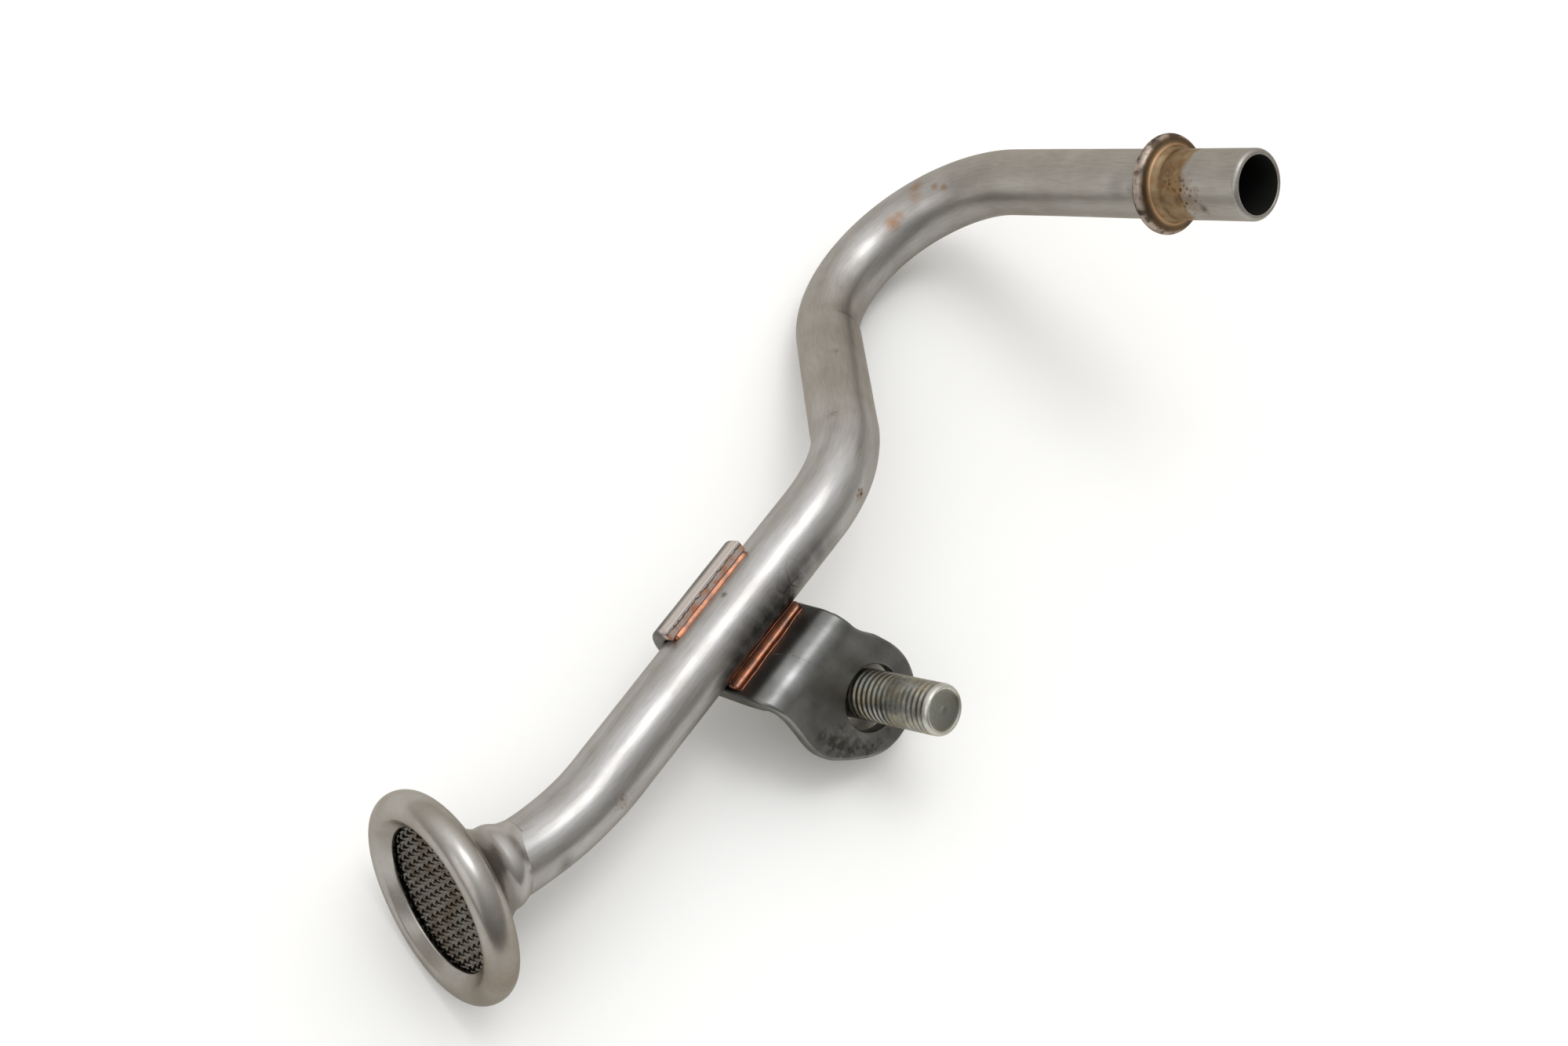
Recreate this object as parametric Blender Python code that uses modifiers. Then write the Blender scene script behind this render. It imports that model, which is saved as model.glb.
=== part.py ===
"""Bent steel oil pipe: strainer bell, brazed bracket with its loose bolt, and a beaded spigot."""

from math import acos, asin, cos, pi, radians, sin, tan

import bmesh
import bpy
import numpy as np
from mathutils import Matrix, Vector

MM = 0.001

# Tube, in millimetres: the long straight runs along X and the spigot points along Z
TUBE_R = 4.0
TUBE_WALL = 0.7
TUBE_SIDES = 28
STEP_STRAIGHT = 6.0
BEND_SAGITTA = 0.045

# Path: bend corners, turn angles and bend radii
BELL_BEND_CORNER = (-52.0, 0.0, 0.0)
BELL_BEND_DEG = 27.0
BELL_BEND_R = 33.0
FIRST_STRAIGHT = 0.277
DROP_BEND_DEG = 48.0
DROP_BEND_R = 16.0
SECOND_STRAIGHT = 20.8
HAIRPIN_DEG = 138.0
HAIRPIN_R = 16.0
SPIGOT_LEG = 37.9
BEND_FLATTENING = 0.045
FLATTENING_RAMP = 0.25
BEND_WIDENING = 0.4

# Reduced tube end: radius at distances behind the bell's ring plane
REDUCED_START = 6.6
REDUCED_END = (
    (0.0, 3.4), (2.75, 3.4), (2.95, 3.72), (4.6, 3.75), (5.8, 3.86), (7.4, 3.97), (8.4, 4.0),
)

# Upset bead and end of the spigot, as distances back from the spigot's end
BEAD_FROM_END = 12.95
BEAD_R = 5.74
BEAD_ROUND_R = 0.85
BEAD_HALF_THICKNESS = 0.82
SHOULDER_R = 4.4
SHOULDER_LENGTH = 0.85
END_BEVEL = 0.3
BORE_BEVEL = 0.15

# Bell mouth: rolled rim, flare and collar, as radius and distance behind the rim's ring plane
ROLL_RING_R = 10.15
ROLL_HALF_WIDTH = 1.62
ROLL_HALF_DEPTH = 1.85
SHEET = 0.45
LIP = (8.1, -0.65)
LIP_START_DEG = -128.0
ROLL_BACK_DEG = 100.0
ROLL_STEPS = 16
FLARE = ((9.2, 2.08), (8.1, 2.62), (7.0, 3.28), (6.0, 4.08), (5.3, 4.9), (4.85, 5.6))
HUMP = ((4.66, 6.15), (4.62, 6.6), (4.6, 7.1), (4.54, 7.6), (4.4, 8.1), (4.2, 8.6))
COLLAR_LIP = (4.0, 9.1)
COLLAR_INNER_R = 3.62
COLLAR_INNER_START = 6.4
BELL_SIDES = 48
BELL_TILT_DEG = -1.0

# Strainer screen held in the roll
SCREEN_R = 9.4
SCREEN_OPEN_R = 8.35
SCREEN_RIM_THICKNESS = 0.5
SCREEN_BEHIND_RING = 0.5
SCREEN_PITCH = 1.4
SCREEN_BAR = 0.58
SCREEN_THICKNESS = 0.26
SCREEN_WEAVE = 0.09
SCREEN_TURN_DEG = 20.0

# Bracket: bent plate with a saddle, an arm, a bend and a tab with an eye
PLATE = 1.62
JOINT_GAP = 0.13
SADDLE_END_Z = 0.0
ARM_LEAN_DEG = 3.0
TAB_FACE_Z = 8.3
BEND_OUTER_R = 3.0
TAB_REACH = 26.0
HOLE_CENTRE = (-18.95, -15.62)
HOLE_R = 3.85
SADDLE_X = (-29.25, -16.1)
ARM_X = (-29.0, -15.95)
TAB_OUTLINE = (
    (-15.6, -5.6), (-15.4, -6.9), (-15.2, -7.95), (-14.85, -8.9), (-14.35, -9.8), (-13.85, -10.7),
    (-13.4, -11.95), (-13.0, -13.15), (-12.72, -14.5), (-12.66, -15.9), (-12.88, -17.3), (-13.45, -18.75),
    (-14.5, -20.15), (-15.95, -21.25), (-17.6, -21.95), (-19.2, -22.17), (-20.84, -21.97), (-22.2, -21.42),
    (-23.36, -20.65), (-24.4, -19.7), (-25.4, -18.6), (-26.4, -17.45), (-27.2, -16.4), (-27.75, -15.3),
    (-28.05, -14.0), (-28.12, -12.4), (-28.05, -10.7), (-28.06, -8.6), (-28.45, -6.4),
)
OUTLINE_STEPS = 3
PLATE_EDGE_ROUND = 0.22

# Braze fillets: clearance to the steel, and the stretch along X
BRAZE_GAP = 0.1
EDGE_BRAZE_X = (-29.3, -16.0)
EDGE_BRAZE_REACH = 1.0
EDGE_BRAZE_RISE = 0.65
VALLEY_BRAZE_X = (-28.2, -16.6)
VALLEY_BRAZE_TOP_Z = 3.5
VALLEY_BRAZE_ANGLES = (144.0, 152.0, 161.0)
FILLET_TAPER = (
    (0.0, 0.45), (0.02, 0.75), (0.06, 0.95), (0.5, 1.0), (0.94, 0.95), (0.98, 0.75), (1.0, 0.45),
)

# Bolt, loose in the oversize hole
BOLT_R = 2.86
BOLT_LENGTH = 14.0
BOLT_TIP = (-18.08, -15.3, 19.47)
BOLT_DIRECTION = (0.074, -0.029, 0.997)
BOLT_END = ((0.0, 0.34), (1.2, 0.34), (1.9, 0.26), (2.2, 0.08), (2.42, 0.0), (2.65, 0.06), (2.81, 0.24))
BOLT_END_LENGTH = 0.55
FLANGE_R = 6.2
FLANGE_EDGE = 0.9
FLANGE_TOP_R = 4.6
FLANGE_HEIGHT = 1.6
HEX_ACROSS_FLATS = 8.0
HEX_HEIGHT = 6.2
HEX_ROUND = 0.35
BOLT_SIDES = 36

# Lying at rest: the part's own direction that points up, and the shift that puts it on the floor
REST_UP = (0.15791, 0.715678, 0.680345)
REST_SHIFT = (9.6887, 1.7946, 17.1004)

STEEL = (0.42, 0.40, 0.37, 1.0)
STEEL_DARK = (0.25, 0.24, 0.23, 1.0)
SCREEN_GREY = (0.20, 0.19, 0.17, 1.0)
COPPER = (0.72, 0.34, 0.20, 1.0)
ZINC = (0.55, 0.54, 0.50, 1.0)


def unit(v):
    v = np.asarray(v, float)
    return v / np.linalg.norm(v)


def clear_scene():
    for obj in list(bpy.data.objects):
        bpy.data.objects.remove(obj, do_unlink=True)


def new_collection(name):
    made = bpy.data.collections.new(name)
    bpy.context.scene.collection.children.link(made)
    return made


def make_material(name, colour, roughness):
    material = bpy.data.materials.new(name)
    material.use_nodes = True
    shader = material.node_tree.nodes["Principled BSDF"]
    shader.inputs["Base Color"].default_value = colour
    shader.inputs["Metallic"].default_value = 1.0
    shader.inputs["Roughness"].default_value = roughness
    return material


def object_from(bm, name, collection):
    """Object holding this bmesh, with its faces turned outwards."""
    bmesh.ops.recalc_face_normals(bm, faces=bm.faces)
    mesh = bpy.data.meshes.new(name)
    bm.to_mesh(mesh)
    bm.free()
    obj = bpy.data.objects.new(name, mesh)
    collection.objects.link(obj)
    return obj


def shade(obj, material, angle_deg=35.0):
    obj.data.materials.clear()
    obj.data.materials.append(material)
    for polygon in obj.data.polygons:
        polygon.use_smooth = True
    bpy.context.view_layer.objects.active = obj
    obj.data.set_sharp_from_angle(angle=radians(angle_deg))


def as_cutter(obj):
    obj.hide_render = True
    obj.display_type = "WIRE"


def boolean(obj, cutter, operation):
    modifier = obj.modifiers.new(operation.lower(), "BOOLEAN")
    modifier.operation = operation
    modifier.solver = "EXACT"
    modifier.object = cutter


def skin(bm, rings, closed_loop=False):
    """Faces between each ring of points and the next, and back to the first if the loop is closed."""
    rows = [[bm.verts.new(Vector(p) * MM) for p in ring] for ring in rings]
    pairs = list(zip(rows, rows[1:]))
    if closed_loop:
        pairs.append((rows[-1], rows[0]))
    for a, b in pairs:
        for i in range(len(a)):
            j = (i + 1) % len(a)
            bm.faces.new((a[i], a[j], b[j], b[i]))
    return rows


def prism(name, outline, axis, low, high, collection):
    """Closed outline of points in a plane, drawn out along an axis from low to high."""
    bm = bmesh.new()
    other = [i for i in range(3) if i != axis]
    base = []
    for p in outline:
        co = [0.0, 0.0, 0.0]
        co[other[0]] = p[0]
        co[other[1]] = p[1]
        co[axis] = low
        base.append(bm.verts.new(Vector(co) * MM))
    face = bm.faces.new(base)
    drawn = bmesh.ops.extrude_face_region(bm, geom=[face])
    move = [0.0, 0.0, 0.0]
    move[axis] = (high - low) * MM
    moved = [e for e in drawn["geom"] if isinstance(e, bmesh.types.BMVert)]
    bmesh.ops.translate(bm, verts=moved, vec=Vector(move))
    return object_from(bm, name, collection)


def spun(name, profile, sides, collection):
    """Closed profile of radius and height, turned round Z with the Screw modifier."""
    bm = bmesh.new()
    verts = [bm.verts.new(Vector((r, 0.0, z)) * MM) for r, z in profile]
    for a, b in zip(verts, verts[1:] + verts[:1]):
        bm.edges.new((a, b))
    mesh = bpy.data.meshes.new(name)
    bm.to_mesh(mesh)
    bm.free()
    obj = bpy.data.objects.new(name, mesh)
    collection.objects.link(obj)
    screw = obj.modifiers.new("turn", "SCREW")
    screw.angle = 2 * pi
    screw.steps = sides
    screw.render_steps = sides
    screw.use_merge_vertices = True
    screw.merge_threshold = 0.00001
    screw.use_smooth_shade = True
    return obj


def arc(centre, radius, start_deg, end_deg, steps):
    angles = np.radians(np.linspace(start_deg, end_deg, steps + 1))
    return [(centre[0] + radius * cos(a), centre[1] + radius * sin(a)) for a in angles]


def path_pieces():
    """Straights and bends in order, each with its start point, start direction and length or bend."""
    into_tube = np.array([cos(radians(BELL_BEND_DEG)), -sin(radians(BELL_BEND_DEG)), 0.0])
    along = np.array([1.0, 0.0, 0.0])
    down = np.array([cos(radians(DROP_BEND_DEG)), 0.0, -sin(radians(DROP_BEND_DEG))])
    corner = np.array(BELL_BEND_CORNER)
    bell_tangent = BELL_BEND_R * tan(radians(BELL_BEND_DEG) / 2)
    drop_tangent = DROP_BEND_R * tan(radians(DROP_BEND_DEG) / 2)
    start = corner - (FIRST_STRAIGHT + bell_tangent) * into_tube
    return start, into_tube, [
        ("straight", FIRST_STRAIGHT, None, None),
        ("bend", radians(BELL_BEND_DEG), BELL_BEND_R, np.array([0.0, 0.0, 1.0])),
        ("straight", -corner[0] - bell_tangent - drop_tangent, None, None),
        ("bend", radians(DROP_BEND_DEG), DROP_BEND_R, np.cross(along, down)),
        ("straight", SECOND_STRAIGHT, None, None),
        ("bend", radians(HAIRPIN_DEG), HAIRPIN_R, np.cross(down, along)),
        ("straight", SPIGOT_LEG, None, None),
    ]


def turned(v, axis, angle):
    return np.array(Matrix.Rotation(angle, 3, Vector(axis)) @ Vector(v))


def stations():
    """Ring centres along the tube: distance, point, direction, inward side and flattening."""
    point, direction, pieces = path_pieces()
    found = []
    travelled = 0.0
    for kind, amount, radius, normal in pieces:
        if kind == "straight":
            count = max(1, round(amount / STEP_STRAIGHT))
            for i in range(count):
                gone = amount * i / count
                found.append((travelled + gone, point + direction * gone, direction, None, 0.0))
            point = point + direction * amount
            travelled += amount
            continue
        axis = unit(normal)
        inward = np.cross(axis, direction)
        centre = point + radius * inward
        count = int(amount / (2 * acos(1 - BEND_SAGITTA / (radius + TUBE_R)))) + 1
        for i in range(count):
            share = i / count
            ramp = min(1.0, share / FLATTENING_RAMP, (1 - share) / FLATTENING_RAMP)
            side = turned(inward, axis, amount * share)
            found.append((
                travelled + radius * amount * share,
                centre - radius * side,
                turned(direction, axis, amount * share),
                side,
                BEND_FLATTENING * ramp,
            ))
        side = turned(inward, axis, amount)
        point = centre - radius * side
        direction = turned(direction, axis, amount)
        travelled += radius * amount
    found.append((travelled, point, direction, None, 0.0))
    return found


def at_distance(found, distance):
    """Station at any distance along the tube, on the straight or bend between two ring centres."""
    for a, b in zip(found, found[1:]):
        if a[0] <= distance <= b[0]:
            share = (distance - a[0]) / (b[0] - a[0])
            point = a[1] + (b[1] - a[1]) * share
            direction = unit(a[2] + (b[2] - a[2]) * share)
            side = a[3] if a[3] is not None else b[3]
            return (distance, point, direction, side, a[4] + (b[4] - a[4]) * share)
    return found[-1]


def bead_profile(length):
    """Outer radius at distances round the upset bead and at the spigot's end."""
    centre = length - BEAD_FROM_END
    back = centre - BEAD_HALF_THICKNESS
    front = centre + BEAD_HALF_THICKNESS
    rows = [(back - 0.35, TUBE_R), (back - 0.06, TUBE_R + 0.12)]
    crest = BEAD_R - BEAD_ROUND_R
    for angle in np.linspace(-88, 88, 9):
        bulge = BEAD_ROUND_R * cos(radians(angle))
        rows.append((centre + BEAD_HALF_THICKNESS * sin(radians(angle)), crest + bulge))
    rows.append((front + 0.05, SHOULDER_R))
    rows.append((front + SHOULDER_LENGTH - 0.25, SHOULDER_R))
    rows.append((front + SHOULDER_LENGTH, TUBE_R))
    rows.append((length - END_BEVEL, TUBE_R))
    rows.append((length - 0.08, TUBE_R - END_BEVEL + 0.06))
    rows.append((length, TUBE_R - END_BEVEL))
    return rows


def build_pipe(collection, material):
    found = stations()
    length = found[-1][0]
    outer = list(REDUCED_END)
    reduced = REDUCED_END[-1][0]
    bead = bead_profile(length)
    for station in found:
        if reduced + 0.3 < station[0] < bead[0][0] - 0.5:
            outer.append((station[0], TUBE_R))
    outer += bead
    inner = [(distance, radius - TUBE_WALL) for distance, radius in REDUCED_END[::2]]
    inner_r = TUBE_R - TUBE_WALL
    for station in found:
        if reduced + 0.3 < station[0] < length - 1.0:
            inner.append((station[0], inner_r))
    inner += [(length - BORE_BEVEL, inner_r), (length, inner_r + BORE_BEVEL)]

    across = np.array([0.0, 0.0, 1.0])
    placed = outer + inner[::-1]
    frames = {}
    for distance in sorted({round(d, 6) for d, _ in placed}):
        station = at_distance(found, distance)
        direction = station[2]
        across = unit(across - direction * (across @ direction))
        frames[distance] = (station, across, np.cross(direction, across))
    rings = []
    for distance, radius in placed:
        station, first, second = frames[round(distance, 6)]
        ring = []
        for i in range(TUBE_SIDES):
            angle = 2 * pi * i / TUBE_SIDES
            offset = radius * (cos(angle) * first + sin(angle) * second)
            if station[3] is not None and station[4] > 0:
                side = station[3]
                width = np.cross(station[2], side)
                inward = station[4] * (offset @ side)
                outward = station[4] * BEND_WIDENING * (offset @ width)
                offset = offset - inward * side + outward * width
            ring.append(station[1] + offset)
        rings.append(ring)
    bm = bmesh.new()
    skin(bm, rings, closed_loop=True)
    pipe = object_from(bm, "pipe", collection)
    shade(pipe, material)
    return pipe


def roll_arc(inset, start_deg, end_deg):
    """Points round the rolled rim's oval section: 0 is outermost, 90 is at the back."""
    angles = np.radians(np.linspace(start_deg, end_deg, ROLL_STEPS + 1))
    wide = ROLL_HALF_WIDTH - inset
    deep = ROLL_HALF_DEPTH - inset
    return [(ROLL_RING_R + wide * cos(a), deep * sin(a)) for a in angles]


def bell_profile():
    """Closed section of the bell's sheet: outside from lip and roll to the collar, then back inside."""
    outside = [LIP] + roll_arc(0.0, LIP_START_DEG, ROLL_BACK_DEG)
    outside += list(FLARE) + list(HUMP) + [COLLAR_LIP]
    inside = [(COLLAR_INNER_R, COLLAR_LIP[1]), (COLLAR_INNER_R, COLLAR_INNER_START)]
    for (r, z), (r_next, z_next) in list(zip(FLARE, FLARE[1:]))[::-1]:
        normal = unit((z - z_next, r_next - r))
        if r + SHEET * normal[0] > COLLAR_INNER_R + 0.3:
            inside.append((r + SHEET * normal[0], z + SHEET * normal[1]))
    inside += roll_arc(SHEET, ROLL_BACK_DEG, LIP_START_DEG) + [(LIP[0] + 0.05, LIP[1] + SHEET)]
    return outside + inside


def build_bell(collection, material):
    profile = [(r, -z) for r, z in bell_profile()]
    bell = spun("bell_mouth", profile, BELL_SIDES, collection)
    shade(bell, material)
    return bell


def build_screen(collection, cutters, material):
    """Lattice of crossing bars, raised and lowered in turn as woven wires are, in a round rim."""
    lines = []
    count = int(SCREEN_R / SCREEN_PITCH) + 1
    for i in range(-count, count + 1):
        lines += [i * SCREEN_PITCH - SCREEN_BAR / 2, i * SCREEN_PITCH + SCREEN_BAR / 2]
    bm = bmesh.new()
    verts = {}

    def vert(i, j, top):
        key = (i, j, top)
        if key not in verts:
            lift = SCREEN_WEAVE if (i // 2 + j // 2) % 2 else -SCREEN_WEAVE
            height = lift + (SCREEN_THICKNESS / 2 if top else -SCREEN_THICKNESS / 2)
            verts[key] = bm.verts.new(Vector((lines[i], lines[j], height)) * MM)
        return verts[key]

    def is_solid(i, j):
        if not (0 <= i < len(lines) - 1 and 0 <= j < len(lines) - 1):
            return False
        centre = Vector(((lines[i] + lines[i + 1]) / 2, (lines[j] + lines[j + 1]) / 2))
        if centre.length > SCREEN_OPEN_R + 0.35:
            return False
        gap = i % 2 == 1 and j % 2 == 1
        reach = max(
            Vector((lines[i + a], lines[j + b])).length for a in (0, 1) for b in (0, 1)
        )
        return not gap or reach > SCREEN_OPEN_R - 0.25

    for i in range(len(lines) - 1):
        for j in range(len(lines) - 1):
            if not is_solid(i, j):
                continue
            bm.faces.new((vert(i, j, 1), vert(i + 1, j, 1), vert(i + 1, j + 1, 1), vert(i, j + 1, 1)))
            bm.faces.new((vert(i, j, 0), vert(i, j + 1, 0), vert(i + 1, j + 1, 0), vert(i + 1, j, 0)))
            sides = (
                ((i - 1, j), (i, j), (i, j + 1)),
                ((i + 1, j), (i + 1, j + 1), (i + 1, j)),
                ((i, j - 1), (i + 1, j), (i, j)),
                ((i, j + 1), (i, j + 1), (i + 1, j + 1)),
            )
            for beside, a, b in sides:
                if not is_solid(*beside):
                    bm.faces.new((vert(*a, 1), vert(*b, 1), vert(*b, 0), vert(*a, 0)))
    screen = object_from(bm, "strainer_screen", collection)
    half = SCREEN_RIM_THICKNESS / 2
    rim = spun(
        "screen_rim_form",
        [(SCREEN_OPEN_R - 0.2, half), (SCREEN_R, half), (SCREEN_R, -half), (SCREEN_OPEN_R - 0.2, -half)],
        BELL_SIDES,
        cutters,
    )
    as_cutter(rim)
    boolean(screen, rim, "UNION")
    shade(screen, material)
    return screen, rim


def bracket_section():
    """Section of the bent plate across the tube, as Y and Z: saddle, leaning arm, bend and tab."""
    lean = radians(ARM_LEAN_DEG)
    near = TUBE_R + JOINT_GAP
    far = near + PLATE
    arm = np.array([-sin(lean), cos(lean)])
    face = -np.array([cos(lean), sin(lean)])
    # The bend's centre lies its own radius from the arm's inner face and from the tab's face
    centre_z = TAB_FACE_Z - BEND_OUTER_R
    reach = (centre_z - (near + BEND_OUTER_R) * face[1]) / arm[1]
    centre_y = (near + BEND_OUTER_R) * face[0] + reach * arm[0]
    centre = (centre_y, centre_z)
    start = -asin(SADDLE_END_Z / near)
    inner_arc = arc((0, 0), near, np.degrees(-start), -180.0 + ARM_LEAN_DEG, 24)
    outer_arc = arc((0, 0), far, -180.0 + ARM_LEAN_DEG, np.degrees(-start), 24)
    bend_out = arc(centre, BEND_OUTER_R, ARM_LEAN_DEG, 90.0, 12)
    bend_in = arc(centre, BEND_OUTER_R - PLATE, 90.0, ARM_LEAN_DEG, 8)
    tab_end = -TAB_REACH
    section = inner_arc + bend_out + [(tab_end, TAB_FACE_Z), (tab_end, TAB_FACE_Z - PLATE)]
    return section + bend_in + outer_arc


def smooth_through(points, steps):
    """Curve through every point: each span is drawn from its two ends and their neighbours."""
    p = [np.array(q) for q in points]
    p = [2 * p[0] - p[1]] + p + [2 * p[-1] - p[-2]]
    drawn = []
    for a, b, c, d in zip(p, p[1:], p[2:], p[3:]):
        for i in range(steps):
            t = i / steps
            squared = 2 * a - 5 * b + 4 * c - d
            cubed = 3 * b - a - 3 * c + d
            drawn.append(tuple(0.5 * (2 * b + (c - a) * t + squared * t ** 2 + cubed * t ** 3)))
    return drawn + [tuple(p[-2])]


def bracket_plan():
    """Outline of the bracket seen along Z: slightly skewed strip over the tube, then the rounded tab."""
    far = TUBE_R + JOINT_GAP + PLATE + 1.0
    plan = [(SADDLE_X[0], far), (SADDLE_X[1], far), (ARM_X[1], -4.3)]
    return plan + smooth_through(TAB_OUTLINE, OUTLINE_STEPS) + [(ARM_X[0], -4.3)]


def build_bracket(collection, cutters, material):
    plate = prism("bracket", bracket_section(), 0, -36.0, -8.0, collection)
    plan = prism("bracket_outline_form", bracket_plan(), 2, -10.0, 12.0, cutters)
    hole = prism("bracket_hole_form", arc(HOLE_CENTRE, HOLE_R, 0.0, 352.5, 47), 2, 2.0, 12.0, cutters)
    for form in (plan, hole):
        as_cutter(form)
    boolean(plate, plan, "INTERSECT")
    boolean(plate, hole, "DIFFERENCE")
    edge = plate.modifiers.new("edge_round", "BEVEL")
    edge.width = PLATE_EDGE_ROUND * MM
    edge.segments = 2
    edge.limit_method = "ANGLE"
    edge.angle_limit = radians(40.0)
    shade(plate, material)
    return plate, plan, hole


def fillet_bar(name, section, x_range, collection):
    """Braze bar: one section carried along X, shrinking to each end."""
    low, high = x_range
    middle = np.mean(section, axis=0)
    rings = []
    for share, size in FILLET_TAPER:
        x = low + (high - low) * share
        rings.append([(x, *(middle + (np.array(p) - middle) * size)) for p in section])
    bm = bmesh.new()
    rows = skin(bm, rings)
    bm.faces.new(rows[0][::-1])
    bm.faces.new(rows[-1])
    return object_from(bm, name, collection)


def build_fillets(collection, material):
    near = TUBE_R + BRAZE_GAP
    rise = EDGE_BRAZE_RISE
    edge_section = [
        (near * cos(asin(rise / near)), rise),
        (near, BRAZE_GAP + 0.2),
        (near + 0.02, BRAZE_GAP),
        (near + EDGE_BRAZE_REACH, BRAZE_GAP),
        (near + 0.75 * EDGE_BRAZE_REACH, BRAZE_GAP + 0.22),
        (near + 0.3 * EDGE_BRAZE_REACH, BRAZE_GAP + 0.42),
    ]
    edge = fillet_bar("braze_fillet_edge", edge_section, EDGE_BRAZE_X, collection)
    lean = radians(ARM_LEAN_DEG)
    wall = TUBE_R + JOINT_GAP

    def on_arm(z):
        return (-(wall / cos(lean)) - z * tan(lean) + BRAZE_GAP, z)

    on_tube = [
        (near * cos(radians(a)), near * sin(radians(a))) for a in VALLEY_BRAZE_ANGLES
    ]
    top = on_arm(VALLEY_BRAZE_TOP_Z)
    bottom = on_arm(on_tube[-1][1] + 0.15)
    hollow = (0.5 * (top[0] + on_tube[0][0]) - 0.08, 0.5 * (top[1] + on_tube[0][1]) - 0.12)
    valley_section = [top, hollow] + on_tube + [bottom]
    valley = fillet_bar("braze_fillet_valley", valley_section, VALLEY_BRAZE_X, collection)
    for fillet in (edge, valley):
        shade(fillet, material, 50.0)
    return edge, valley


def build_bolt(collection, cutters, material):
    """Flanged hexagon bolt: shank up along its own Z from the flange's seat."""
    profile = [
        (BOLT_R, BOLT_LENGTH - BOLT_END_LENGTH),
        (BOLT_R, 0.25),
        (BOLT_R + 0.25, 0.0),
        (FLANGE_R - 0.15, 0.0),
        (FLANGE_R, -0.15),
        (FLANGE_R, -FLANGE_EDGE),
        (FLANGE_TOP_R, -FLANGE_HEIGHT),
        (0.0, -FLANGE_HEIGHT),
    ]
    profile = [(r, BOLT_LENGTH - back) for r, back in BOLT_END] + profile
    bolt = spun("bolt", profile, BOLT_SIDES, collection)
    corner_r = HEX_ACROSS_FLATS / 2 / cos(pi / 6)
    hexagon = [(corner_r * cos(pi * k / 3), corner_r * sin(pi * k / 3)) for k in range(6)]
    head = prism("bolt_head_form", hexagon, 2, -HEX_HEIGHT, -FLANGE_HEIGHT + 0.4, cutters)
    as_cutter(head)
    chamfer = head.modifiers.new("corner_round", "BEVEL")
    chamfer.width = HEX_ROUND * MM
    chamfer.segments = 2
    chamfer.limit_method = "ANGLE"
    chamfer.angle_limit = radians(75.0)
    boolean(bolt, head, "UNION")
    shade(bolt, material)
    return bolt, head


def turn_to(direction):
    """Rotation that takes Z to this direction."""
    return Vector((0.0, 0.0, 1.0)).rotation_difference(Vector(direction)).to_matrix().to_4x4()


def rest_rotation():
    """Rows are the world's X, Y and Z in the part's own axes, with the long straight along X in plan."""
    up = unit(REST_UP)
    ahead = np.array([1.0, 0.0, 0.0])
    ahead = unit(ahead - up * (ahead @ up))
    return Matrix([list(ahead), list(np.cross(up, ahead)), list(up)]).to_4x4()


def main():
    clear_scene()
    parts = new_collection("oil_scavenge_pipe")
    cutters = new_collection("cutters")

    rest = bpy.data.objects.new("rest_pose", None)
    parts.objects.link(rest)
    rest.matrix_world = Matrix.Translation(Vector(REST_SHIFT) * MM) @ rest_rotation()

    pipe = build_pipe(parts, make_material("tube_steel", STEEL, 0.32))
    bell = build_bell(parts, make_material("bell_steel", STEEL, 0.28))
    screen, rim = build_screen(parts, cutters, make_material("screen_wire", SCREEN_GREY, 0.5))
    plate, plan, hole = build_bracket(parts, cutters, make_material("bracket_steel", STEEL_DARK, 0.4))
    edge, valley = build_fillets(parts, make_material("braze_copper", COPPER, 0.3))
    bolt, head = build_bolt(parts, cutters, make_material("bolt_zinc", ZINC, 0.35))

    for obj in (pipe, plate, plan, hole, edge, valley):
        obj.parent = rest

    tube_start, first_leg, _ = path_pieces()
    ring_centre = Vector(tube_start - REDUCED_START * first_leg)
    bell_deg = radians(BELL_BEND_DEG + BELL_TILT_DEG)
    into_bell = Vector((cos(bell_deg), -sin(bell_deg), 0.0))
    turn = turn_to(-into_bell)
    bell.parent = rest
    bell.matrix_local = Matrix.Translation(ring_centre * MM) @ turn
    for obj in (screen, rim):
        place = Matrix.Translation((ring_centre + into_bell * SCREEN_BEHIND_RING) * MM)
        obj.parent = rest
        obj.matrix_local = place @ turn @ Matrix.Rotation(radians(SCREEN_TURN_DEG), 4, "Z")

    direction = Vector(BOLT_DIRECTION).normalized()
    seat = Vector(BOLT_TIP) - BOLT_LENGTH * direction
    for obj in (bolt, head):
        obj.parent = rest
        obj.matrix_local = Matrix.Translation(seat * MM) @ turn_to(direction)


main()
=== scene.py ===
import math

import bmesh
import bpy
import numpy as np
from mathutils import Matrix


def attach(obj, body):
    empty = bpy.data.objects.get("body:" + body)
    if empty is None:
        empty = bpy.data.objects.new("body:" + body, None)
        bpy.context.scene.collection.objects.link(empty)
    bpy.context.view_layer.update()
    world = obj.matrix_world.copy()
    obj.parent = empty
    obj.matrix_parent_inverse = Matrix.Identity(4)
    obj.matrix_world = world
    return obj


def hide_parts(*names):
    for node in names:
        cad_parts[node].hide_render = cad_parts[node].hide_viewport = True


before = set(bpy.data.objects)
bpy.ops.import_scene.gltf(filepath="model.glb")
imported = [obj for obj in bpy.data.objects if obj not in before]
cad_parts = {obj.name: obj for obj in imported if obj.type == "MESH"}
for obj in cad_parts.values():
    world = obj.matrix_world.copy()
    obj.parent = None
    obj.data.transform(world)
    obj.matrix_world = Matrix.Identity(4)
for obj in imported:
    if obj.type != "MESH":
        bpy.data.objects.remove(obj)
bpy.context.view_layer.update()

MM = 0.001
IMAGE_WIDTH = 1999
FOCAL_PIXELS = 2757.86

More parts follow.
